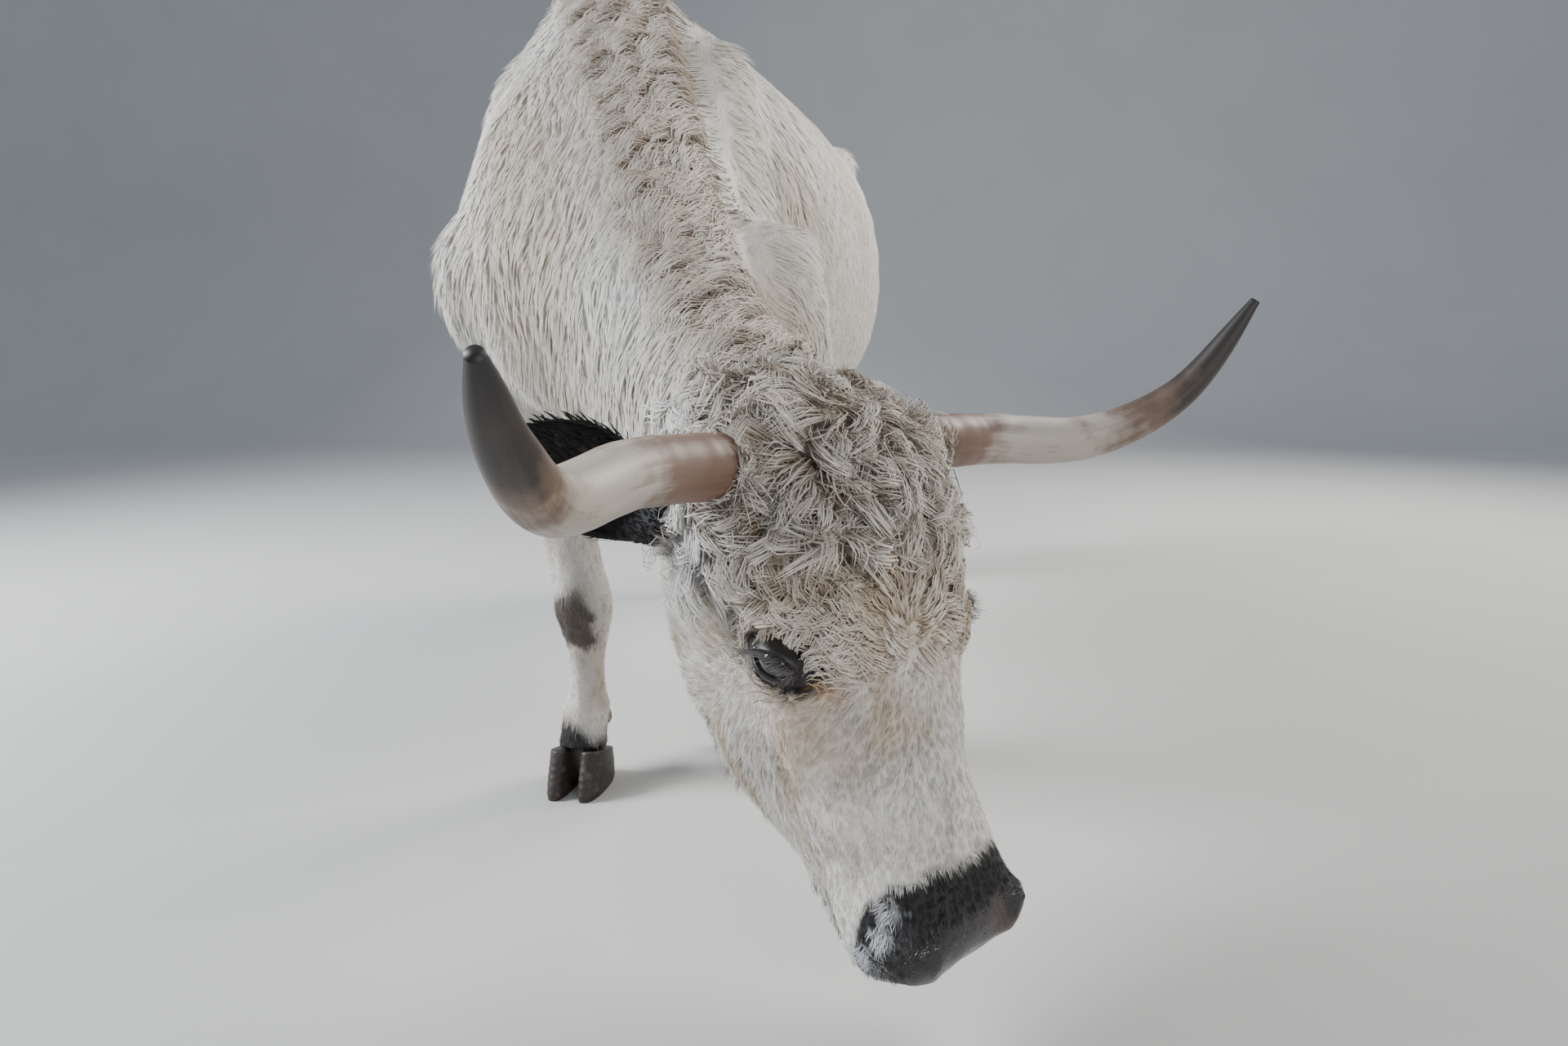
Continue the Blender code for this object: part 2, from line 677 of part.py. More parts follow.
MOUTH_LINE = [
    # outer edge of the slit (face, out), inner edge (face, out), brow
    (0.540, 0.000, 0.480, 0.000, -0.112),
    (0.530, 0.045, 0.474, 0.026, -0.113),
    (0.505, 0.090, 0.458, 0.050, -0.116),
    (0.465, 0.120, 0.435, 0.062, -0.120),
    (0.425, 0.120, 0.415, 0.068, -0.124),
    (0.395, 0.110, 0.398, 0.074, -0.128),
]
MOUTH_GAP = 0.0030


def mouth_slit():
    rings = []
    count = 10
    for k in range(-count, count + 1):
        side = 1 if k >= 0 else -1
        outer_f, outer_r, inner_f, inner_r, u = spline(MOUTH_LINE, abs(k) / count)
        thin = MOUTH_GAP / 2 * (1.0 - 0.5 * abs(k) / count)
        high = BROW * thin
        outer = at_head(outer_f, outer_r * side, u)
        inner = at_head(inner_f, inner_r * side, u)
        rings.append([outer + high, inner + high, inner - high, outer - high])
    return rings_to_mesh("mouth", rings)


cut(head, mouth_slit(), "DIFFERENCE", FINE_WORK)
keep_largest(head)


# Curls of the poll: flat tapered locks that rise from the crown, bend over and coil at their ends

def lock_mesh(root, rise, flow, length, height, width, coil, drop):
    # A lock arches up from its root and over, follows the fall of the skin and coils to one side.
    across = rise.cross(flow).normalized()
    path = [root - rise * 0.012]
    radii = [(width * 0.34, width * 0.17)]
    steps = 5
    for k in range(steps + 1):
        t = k / steps
        turned = 2.9 * t
        along = length * (0.42 * t + 0.30 * math.sin(turned) / 2.9 * 2.2)
        up = height * math.sin(math.pi * (0.10 + 0.76 * t)) - drop * along * along
        sway = coil * length * 0.30 * (1.0 - math.cos(turned))
        path.append(root + flow * along + rise * up + across * sway)
        size = width * (0.72 + 1.10 * t - 1.62 * t * t)
        radii.append((size / 2, size / 2 * 0.50))
    return rings_to_mesh("lock", tube_rings(path, radii, 4, across))


POLL_LOCKS = 36
POLL_SEED = 7
POLL_REACH = (0.122, 0.118)
POLL_MIDDLE = 0.034
POLL_LOCK_LENGTH = (0.072, 0.100)
POLL_LOCK_HEIGHT = (0.024, 0.036)
POLL_LOCK_WIDTH = (0.026, 0.036)
POLL_LOCK_DROP = 2.0


def poll_locks():
    # Roots spread evenly over an oval between the horns, on the skin itself.
    skin = BVHTree.FromObject(head, bpy.context.evaluated_depsgraph_get())
    chance = np.random.default_rng(POLL_SEED)
    locks = []
    for i in range(POLL_LOCKS):
        turn = GOLDEN_TURN * i
        reach = math.sqrt((i + 0.5) / POLL_LOCKS)
        f = POLL_MIDDLE + POLL_REACH[0] * reach * math.cos(turn)
        r = POLL_REACH[1] * reach * math.sin(turn)
        start = at_head(f, r, 0.25) - FACE * 0.05
        sight = (at_head(f, r * 0.85, -0.03) - start).normalized()
        root, rise, _, _ = skin.ray_cast(start, sight)
        if root is None or (root - at_head(f, r, 0.0)).length > 0.08:
            continue
        away = FACE * (f - 0.01) * 1.2 + RIGHT * r
        away = away + (FACE * chance.uniform(-1, 1) + RIGHT * chance.uniform(-1, 1)) * 0.075
        flow = (away - rise * away.dot(rise)).normalized()
        low = max(0.0, f - 0.06) * 6.0
        length = chance.uniform(*POLL_LOCK_LENGTH)
        height = chance.uniform(*POLL_LOCK_HEIGHT) * (1.08 - 0.30 * reach - 0.4 * low)
        width = chance.uniform(*POLL_LOCK_WIDTH) * (1.0 - 0.3 * low)
        coil = chance.choice((-1, 1)) * chance.uniform(0.5, 1.0)
        locks.append(lock_mesh(root, rise, flow, length, height, width, coil, POLL_LOCK_DROP))
    return locks


unite(head, poll_locks(), FINE_WORK)


# Horns: centre line in head axes (face, out, brow) from a root inside the skull to the tip

HORN_LINE = [
    (0.020, 0.070, -0.035),
    (0.025, 0.125, -0.020),
    (0.032, 0.221, -0.003),
    (0.060, 0.312, 0.049),
    (0.050, 0.370, 0.132),
    (0.011, 0.406, 0.216),
]
# How far the right horn departs from that line; the left one departs the other way
HORN_LEAN = [
    (0.0000, 0.0000, 0.0000),
    (0.0000, 0.0000, 0.0000),
    (-0.0015, 0.0015, 0.0045),
    (-0.0025, 0.0000, -0.0020),
    (-0.0010, 0.0000, -0.0030),
    (0.0195, 0.0005, -0.0090),
]
# Share of the root's radius at even steps from root to tip
HORN_TAPER = [1.0, 1.0, 1.0, 0.98, 0.93, 0.86, 0.75, 0.62, 0.42, 0.06]


def horn_rings(side, count, steps):
    path = []
    radii = []
    for k in range(steps + 1):
        t = k / steps
        f, r, u = spline(HORN_LINE, t)
        lean = spline(HORN_LEAN, t) * side
        path.append(at_head(f + lean[0], (r + lean[1]) * side, u + lean[2]))
        size = HORN_BASE_RADIUS * float(spline([(v,) for v in HORN_TAPER], t)[0])
        radii.append((size, size))
    return tube_rings(path, radii, count, FACE)


for word, side in (("right", 1), ("left", -1)):
    seat(head, "horn_" + word, rings_to_mesh("horn_" + word, horn_rings(side, 12, 15)), HORN,
         FINE_WORK)


# Hooves: two claws and two dewclaws on each foot, with flat soles on the floor

CLAW_WALL = [
    # height, spread, reach to the toe, reach to the heel
    (0.000, 1.00, 0.074, 0.048),
    (0.030, 0.98, 0.063, 0.051),
    (0.085, 0.86, 0.037, 0.046),
]
CLAW_OFFSET = 0.025
CLEFT_SHARE = 0.80
CORONET_NORMAL = Vector((0, 0.30, 1.0))
DEWCLAW_RADII = (0.011, 0.014, 0.020)
DEWCLAW_OFFSET = 0.021
DEWCLAW_BEHIND = 0.040
DEWCLAW_HEIGHT = 0.098
DEWCLAW_LEAN = 0.6


def claw_mesh(x, y, out):
    # Sole outline: pointed round toe, nearly straight along the cleft; the front wall slopes back.
    rings = []
    for height, spread, toe, heel in CLAW_WALL:
        ring = []
        for i in range(14):
            turn = 2 * math.pi * i / 14
            across, along = math.sin(turn), -math.cos(turn)
            share = 1.0 if across * out >= 0 else CLEFT_SHARE
            reach = toe if along < 0 else heel
            half = CLAW_WIDTH / 2 * spread * share
            px = x + out * CLAW_OFFSET + math.copysign(abs(across) ** 0.85, across) * half
            py = y + math.copysign(abs(along) ** 0.9, along) * reach
            ring.append(Vector((px, py, height)))
        rings.append(ring)
    return rings_to_mesh("claw", rings)


for leg_name, leg in legs.items():
    rows = LEGS[leg_name]
    foot_x, foot_y = rows[-1][0], rows[-1][1]
    # The coronet slopes: high in front, low at the heel
    slope = plane_frame(Vector((foot_x, foot_y, CORONET_HEIGHT)), CORONET_NORMAL, Vector((1, 0, 0)))
    cut(leg, slab((-0.2, -0.2, -0.2), (0.2, 0.2, 0.0), slope, HALF_GAP), "DIFFERENCE")
    keep_largest(leg)
    for word, out in (("outer", math.copysign(1, foot_x)), ("inner", -math.copysign(1, foot_x))):
        claw = new_object(f"hoof_{leg_name}_{word}", claw_mesh(foot_x, foot_y, out), PARTS, HOOF)
        cut(claw, slab((-0.2, -0.2, 0.0), (0.2, 0.2, 0.2), slope, HALF_GAP), "DIFFERENCE")
        spur = Vector((foot_x + out * DEWCLAW_OFFSET, rows[-3][1] + DEWCLAW_BEHIND, DEWCLAW_HEIGHT))
        lean = Matrix.Rotation(DEWCLAW_LEAN, 3, "X")
        nub = ellipsoid("dewclaw", spur, DEWCLAW_RADII, lean, 8, 5)
        seat(leg, f"dewclaw_{leg_name}_{word}", nub, HOOF)


# Tail: hangs from the tail head behind the thighs, with the switch at its end

TAIL_PATH = [
    (0.000, 1.395, 1.228),
    (0.003, 1.450, 1.238),
    (0.008, 1.496, 1.195),
    (0.012, 1.515, 1.105),
    (0.016, 1.513, 0.950),
    (0.020, 1.500, 0.780),
    (0.020, 1.500, 0.640),
]
SWITCH_TOP = 0.640
SWITCH_LENGTH = 0.34


def tail_rings(count, steps):
    path = []
    radii = []
    for k in range(steps + 1):
        t = k / steps
        path.append(Vector(spline(TAIL_PATH, t)))
        size = TAIL_ROOT_RADIUS + (TAIL_TIP_RADIUS - TAIL_ROOT_RADIUS) * min(1.0, t * 1.5) ** 0.7
        radii.append((size * 1.15, size))
    return tube_rings(path, radii, count, Vector((1, 0, 0)))


seat(torso, "tail", rings_to_mesh("tail", tail_rings(10, 13)), COAT)


# Tail switch: long tapered locks around a short core

SWITCH_X = 0.020
SWITCH_Y = 1.500
SWITCH_CORE = [(0.0, 0.016), (0.12, 0.024), (0.30, 0.028), (0.45, 0.018), (0.52, 0.006)]
SWITCH_LOCKS = 12
SWITCH_SEED = 11


def round_ring(x, y, z, radius, count):
    ring = []
    for i in range(count):
        turn = 2 * math.pi * i / count
        ring.append(Vector((x + radius * math.cos(turn), y + radius * math.sin(turn), z)))
    return ring


def switch_core():
    top = SWITCH_TOP - 3 * NODE_GAP
    rings = [round_ring(SWITCH_X, SWITCH_Y, top - SWITCH_LENGTH * t, size, 10)
             for t, size in SWITCH_CORE]
    return rings_to_mesh("tail_switch", rings)


def switch_lock(turn, start, length, sway):
    # A lock leaves the core, swells outward and hangs down to a point.
    out = Vector((math.cos(turn), math.sin(turn), 0.0))
    down = Vector((0, 0, -1))
    root = Vector((SWITCH_X, SWITCH_Y, SWITCH_TOP - SWITCH_LENGTH * start)) + out * 0.012
    path = []
    radii = []
    for k in range(5):
        t = k / 4
        swell = 0.022 * math.sin(math.pi * min(1.0, 1.1 * t)) - 0.004 * t
        path.append(root + out * swell + sway * t * t + down * length * t)
        size = 0.014 * (0.75 + 1.1 * t - 1.75 * t * t)
        radii.append((size, size * 0.6))
    return rings_to_mesh("lock", tube_rings(path, radii, 4, out.cross(down)))


def switch_locks():
    chance = np.random.default_rng(SWITCH_SEED)
    locks = []
    for i in range(SWITCH_LOCKS):
        start = 0.06 + 0.36 * i / SWITCH_LOCKS
        length = SWITCH_LENGTH * chance.uniform(0.50, 0.62) * (1.18 - 0.5 * start)
        sway = Vector((chance.uniform(-1, 1), chance.uniform(-1, 1), 0)) * 0.026
        locks.append(switch_lock(GOLDEN_TURN * i, start, length, sway))
    return locks


tail_switch = new_object("tail_switch", switch_core(), PARTS, COAT)
unite(tail_switch, switch_locks())


# Four teats under the udder

TEATS = [(-0.034, 1.005), (0.034, 1.005), (-0.030, 1.085), (0.030, 1.085)]
TEAT_PROFILE = [(0.600, 0.010), (0.560, 0.0095), (0.540, 0.0085), (0.528, 0.005)]

teats = []
for x, y in TEATS:
    rings = [round_ring(x, y, z, size, 8) for z, size in TEAT_PROFILE]
    teats.append(rings_to_mesh("teat", rings))
unite(udder, teats)


# Origin at the middle of the bounding box, on the floor

corners = [piece.matrix_world @ vert.co for piece in PARTS.objects for vert in piece.data.vertices]
low = Vector([min(c[k] for c in corners) for k in range(3)])
high = Vector([max(c[k] for c in corners) for k in range(3)])
SHIFT = Vector((-(low.x + high.x) / 2, -(low.y + high.y) / 2, -low.z))
for piece in PARTS.objects:
    piece.data.transform(Matrix.Translation(SHIFT))


# Round forms are shaded smooth across their shallow edges

for piece in PARTS.objects:
    piece.data.shade_smooth()
    piece.data.set_sharp_from_angle(angle=math.radians(40))
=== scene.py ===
import math
import bmesh
import bpy
import numpy as np
from mathutils import Matrix, Vector
from mathutils.bvhtree import BVHTree
from mathutils.kdtree import KDTree


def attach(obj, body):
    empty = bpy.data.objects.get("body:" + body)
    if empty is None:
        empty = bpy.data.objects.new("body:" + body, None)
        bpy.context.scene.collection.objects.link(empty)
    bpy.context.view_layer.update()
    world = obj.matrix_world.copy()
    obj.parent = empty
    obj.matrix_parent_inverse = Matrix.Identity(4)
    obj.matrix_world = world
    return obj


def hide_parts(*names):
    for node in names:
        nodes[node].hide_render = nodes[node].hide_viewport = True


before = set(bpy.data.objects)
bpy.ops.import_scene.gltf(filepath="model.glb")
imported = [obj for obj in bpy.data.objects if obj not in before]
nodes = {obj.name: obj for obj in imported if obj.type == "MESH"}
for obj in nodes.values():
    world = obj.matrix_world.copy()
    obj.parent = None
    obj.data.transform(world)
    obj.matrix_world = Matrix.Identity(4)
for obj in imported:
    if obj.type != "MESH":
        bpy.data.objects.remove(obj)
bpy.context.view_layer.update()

# Skin. One hide without a seam, from the solids of the flesh, fused, smoothed and drawn in
# by the depth of the coat. The curls of the poll are pared off it down to the crown, and
# the face is finished with the line of the mouth and the folds of the muzzle.

FLESH = ["head", "neck", "torso", "udder", "foreleg_right", "foreleg_left",
         "hindleg_right", "hindleg_left", "tail"]
WITHERS = np.array((-0.2200, -0.2862, 0.0))
SKIN_VOXEL = 0.0050
SKIN_FACES = 140000
HEAD_SCALE = 1.133
SIDES = {"right": 1, "left": -1}


def unit(v):
    v = np.asarray(v, float)
    return v / np.linalg.norm(v, axis=-1, keepdims=True)


FACE = unit((0.330, -0.275, -0.903))
BROW = np.array((0.675, -0.600, 0.429))
BROW = unit(BROW - FACE * BROW.dot(FACE))
RIGHT = unit(np.cross(FACE, BROW))
POLL = WITHERS + np.array((0.339, -0.474, 0.635))


def at_head(f, r, u):
    # A point from its place in the head: along the face, out to her right, out of the brow.
    return POLL + (FACE * f + RIGHT * r + BROW * u) * HEAD_SCALE


def head_place(p):
    d = (np.asarray(p) - POLL) / HEAD_SCALE
    return d @ FACE, d @ RIGHT, d @ BROW


def ease(low, high, value):
    # 0 below the low value, 1 above the high one, smooth in between.
    t = np.clip((np.asarray(value, float) - low) / (high - low), 0.0, 1.0)
    return t * t * (3 - 2 * t)


def on_head(p):
    f, _, u = head_place(p)
    ahead = ((f + 0.075) * 0.25 + u * 0.13) / 0.2818
    return ease(-0.02, 0.03, ahead) * (p[:, 1] < -0.50)


# Parting of the coat, from the tail head along the back and her left of the crest to the poll
PARTING = WITHERS + np.array([
    (0.000, 1.380, 1.275), (0.000, 1.100, 1.293), (-0.024, 0.550, 1.268), (-0.030, 0.300, 1.272),
    (0.030, 0.110, 1.255), (0.085, 0.030, 1.200), (0.098, -0.013, 1.163), (0.135, -0.080, 1.010),
    (0.165, -0.112, 0.910), (0.205, -0.150, 0.826), (0.245, -0.210, 0.760), (0.290, -0.330, 0.720)])
# Middle of the band of long waves that falls from the parting over the crest
MANE = WITHERS + np.array([
    (-0.040, 0.060, 1.290), (-0.005, -0.041, 1.222), (0.045, -0.120, 1.100), (0.094, -0.186, 0.988),
    (0.166, -0.284, 0.836), (0.215, -0.345, 0.760), (0.255, -0.388, 0.718), (0.300, -0.440, 0.690)])


def from_line(p, line):
    # Vector to each point from the nearest point of a line, and the line's direction there.
    best = np.full(len(p), np.inf)
    offset = np.zeros_like(p)
    ahead = np.zeros_like(p)
    for a, b in zip(line, line[1:]):
        span = b - a
        share = np.clip((p - a) @ span / span.dot(span), 0, 1)
        away = p - a - share[:, None] * span
        size = np.linalg.norm(away, axis=1)
        near = size < best
        best[near], offset[near], ahead[near] = size[near], away[near], unit(span)
    return offset, ahead


def bumps(p, size, seed):
    # Smooth wandering value between -1 and 1, with features of about the given size.
    chance = np.random.default_rng(seed)
    total = np.zeros(len(p))
    for _ in range(7):
        way = unit(chance.normal(size=3)) * chance.uniform(0.7, 1.5) / size * 3.0
        total += np.sin(p @ way + chance.uniform(0, 6.3))
    return np.clip(total / 3.4, -1, 1)


# Top line of the crown (along the face, out of the brow, half width) under the curls
CROWN = np.array([
    (-0.243, -0.111, 0.113), (-0.130, -0.062, 0.106), (-0.040, -0.005, 0.117), (0.010, 0.020, 0.127),
    (0.080, 0.026, 0.125), (0.180, 0.020, 0.116), (0.250, 0.009, 0.107)])
CROWN_HEIGHT = 0.086
CROWN_SQUARENESS = 2.6
MUZZLE_LEVELS = (0.385, 0.440)
MOUTH_CREASE = 0.0055
MOUTH_WIDTH = 0.0045


def apart(*spans):
    # Distance measured in shares, from pairs of an offset and the size that it is a share of.
    return np.sqrt(sum((offset / size) ** 2 for offset, size in spans))


def linked(name, data):
    made = bpy.data.objects.new(name, data)
    bpy.context.scene.collection.objects.link(made)
    return made


def settle(made):
    # Turn the modifiers of an object into its mesh.
    graph = bpy.context.evaluated_depsgraph_get()
    mesh = bpy.data.meshes.new_from_object(made.evaluated_get(graph))
    old = made.data
    made.modifiers.clear()
    made.data = mesh
    bpy.data.meshes.remove(old)


def fused(name, parts, voxel):
    bm = bmesh.new()
    for part in parts:
        bm.from_mesh(nodes[part].data)
    mesh = bpy.data.meshes.new(name)
    bm.to_mesh(mesh)
    bm.free()
    made = linked(name, mesh)
    modifier = made.modifiers.new("remesh", "REMESH")
    modifier.mode = "VOXEL"
    modifier.voxel_size = voxel
    settle(made)
    return made


def points_of(mesh):
    co = np.empty(len(mesh.vertices) * 3, np.float32)
    mesh.vertices.foreach_get("co", co)
    return co.reshape(-1, 3).astype(float)


def normals_of(mesh):
    out = np.empty(len(mesh.vertices) * 3, np.float32)
    mesh.vertex_normals.foreach_get("vector", out)
    return out.reshape(-1, 3).astype(float)


def set_points(mesh, co):
    mesh.vertices.foreach_set("co", np.asarray(co, np.float32).ravel())
    mesh.update()


def soften(made, times, weights=None):
    modifier = made.modifiers.new("smooth", "SMOOTH")
    modifier.iterations = times
    if weights is not None:
        group = made.vertex_groups.new(name="soft")
        levels = np.round(np.clip(weights, 0, 1) * 10).astype(int)
        for level in range(1, 11):
            chosen = np.nonzero(levels == level)[0].tolist()
            if chosen:
                group.add(chosen, level / 10, "REPLACE")
        modifier.vertex_group = "soft"
    settle(made)
    made.vertex_groups.clear()


def eye_frame(side):
    # Centre, along the eye to its front corner, up the eye, and out of it.
    out = unit(FACE * 0.10 + RIGHT * (0.82 * side) + BROW * 0.56)
    along = FACE * 0.62 - RIGHT * (0.21 * side) + BROW * 0.58
    along = unit(along - out * along.dot(out))
    return at_head(0.196, side * 0.112, -0.040), along, np.cross(out, along), out


# From the middle of the lips back to the corner of the mouth
MOUTH_LINE = np.array([
    (0.510, 0.000, -0.112), (0.505, 0.035, -0.113), (0.485, 0.070, -0.116),
    (0.455, 0.088, -0.120), (0.398, 0.080, -0.128)])


def mouth_distance(p):
    # Distance out of the brow from the slit of the mouth, and how far ahead of its corner.
    f, r, u = head_place(p)
    front, back = MOUTH_LINE[:4], MOUTH_LINE[[4, 3]]
    level = np.interp(np.abs(r), front[:, 1], front[:, 2])
    level = np.where(f < back[1, 0], np.interp(f, back[:, 0], back[:, 2]), level)
    return np.abs(u - level), ease(0.385, 0.405, f)


# Forms of the face: place (along the face, out to the side, out of the brow), size, height
FACE_FORMS = [
    (0.160, 0.088, 0.002, 0.028, 0.0100), (0.205, 0.088, 0.004, 0.022, 0.0085),
    (0.262, 0.080, -0.030, 0.030, -0.0085), (0.330, 0.068, -0.030, 0.034, -0.0070),
    (0.290, 0.106, -0.080, 0.020, 0.0065), (0.345, 0.094, -0.088, 0.020, 0.0065),
    (0.235, 0.118, -0.085, 0.020, -0.0040), (0.460, 0.068, -0.040, 0.016, 0.0060),
    (0.482, 0.030, -0.060, 0.020, 0.0030), (0.425, 0.040, -0.006, 0.022, 0.0025),
    (0.500, 0.044, -0.072, 0.0085, -0.0150), (0.494, 0.053, -0.066, 0.0080, -0.0150),
    (0.485, 0.062, -0.060, 0.0065, -0.0130), (0.474, 0.068, -0.056, 0.0050, -0.0090),
    (0.463, 0.070, -0.056, 0.0035, -0.0040), (0.502, 0.000, -0.085, 0.0060, -0.0035),
    (0.230, 0.110, -0.135, 0.060, 0.0085), (0.150, 0.110, -0.120, 0.050, 0.0050)]

FACE_COAT, CREST_COAT, LEG_COAT, TAIL_COAT = 0.0065, 0.0030, 0.0032, 0.0030
TRUNK_COAT = 0.0050


def coat_depth(p):
    # How deep the hair lies over the skin.
    f, _, _ = head_place(p)
    head = on_head(p)
    leg = ease(0.66, 0.50, p[:, 2]) * (1 - head)
    tail = ease(1.175, 1.19, p[:, 1])
    depth = TRUNK_COAT + CREST_COAT * ease(0.12, -0.35, p[:, 1])
    depth = depth * (1 - leg) + LEG_COAT * leg
    depth = depth * (1 - tail) + TAIL_COAT * tail
    face = FACE_COAT - 0.0038 * ease(0.16, 0.26, f) - 0.0018 * ease(0.40, 0.45, f)
    return depth * (1 - head) + face * head


skin = fused("skin", FLESH, SKIN_VOXEL)
co = points_of(skin.data)
f, r, u = head_place(co)
# Pare the curls off, down to the crown: a rounded box section with its top line
top = np.interp(f, CROWN[:, 0], CROWN[:, 1])
half = np.interp(f, CROWN[:, 0], CROWN[:, 2])
ratio = np.clip(np.abs(r) / half, 0, 0.999)
crown = top - CROWN_HEIGHT * (1 - (1 - ratio ** CROWN_SQUARENESS) ** (1 / CROWN_SQUARENESS))
over = (u - crown) * (f > -0.24) * (f < 0.235) * (ratio < 0.998) * (co[:, 1] < -0.45)
co -= BROW * (np.clip(over, 0, None) * HEAD_SCALE)[:, None]
set_points(skin.data, co)
f, r, u = head_place(co)
curled = ease(0.24, 0.16, f) * ease(-0.24, -0.18, f) * ease(-0.16, -0.11, u) * (co[:, 1] < -0.42)
soften(skin, 40, curled)
soften(skin, 6)
# Draw the skin in by the depth of the coat
co = points_of(skin.data)
co -= normals_of(skin.data) * coat_depth(co)[:, None]
set_points(skin.data, co)
soften(skin, 2)
thin = skin.modifiers.new("thin", "DECIMATE")
thin.ratio = SKIN_FACES / (2 * len(skin.data.polygons))
settle(skin)
# Finer faces on the muzzle, then the forms of the face and the slit of the mouth
bm = bmesh.new()
bm.from_mesh(skin.data)
for low in MUZZLE_LEVELS:
    place = np.array([vert.co for vert in bm.verts])
    chosen = (head_place(place)[0] > low) & (on_head(place) > 0.5)
    bm.verts.ensure_lookup_table()
    edges = [edge for edge in bm.edges if chosen[edge.verts[0].index] or chosen[edge.verts[1].index]]
    bmesh.ops.subdivide_edges(bm, edges=edges, cuts=1, use_grid_fill=True)
    bmesh.ops.triangulate(bm, faces=[face for face in bm.faces if len(face.verts) > 3])
    bm.verts.index_update()
bm.to_mesh(skin.data)
bm.free()
soften(skin, 3, ease(0.37, 0.40, head_place(points_of(skin.data))[0]) * on_head(points_of(skin.data)))
co = points_of(skin.data)
gap, along = mouth_distance(co)
f, r, u = head_place(co)
swell = -MOUTH_CREASE * np.exp(-(gap * HEAD_SCALE / MOUTH_WIDTH) ** 2) * along
for at_f, at_r, at_u, size, height in FACE_FORMS:
    spot = ((f - at_f) ** 2 + (np.abs(r) - at_r) ** 2 + (u - at_u) ** 2) / size ** 2
    swell += height * np.exp(-spot)
co += normals_of(skin.data) * (swell * on_head(co))[:, None]
set_points(skin.data, co)
skin.data.shade_smooth()

WHORL = (0.205, 0.002)
KNEES = [(-0.120, -0.130, 0.285), (0.118, 0.020, 0.285)]
KNEE_PATCH = (0.048, 0.052, 0.066)
EYE_PATCH = (0.052, 0.031)
WHITE_SPOTS = [(0.424, -0.047, 0.012), (0.440, -0.060, 0.010), (0.466, -0.092, 0.020)]


def nose_plate(p):
    # The bare wet skin between and around the nostrils.
    f, r, u = head_place(p)
    wide = np.abs(r)
    ahead = ease(0.440, 0.452, f - 0.25 * np.clip(wide - 0.050, 0, 1))
    return on_head(p) * ahead * ease(0.085, 0.074, wide) * ease(-0.106, -0.098, u)


def on_udder(p):
    aside = np.abs(p[:, 0] - WITHERS[0])
    return ease(0.600, 0.585, p[:, 2]) * (p[:, 1] > 0.62) * (p[:, 1] < 0.89) * ease(0.085, 0.07, aside)


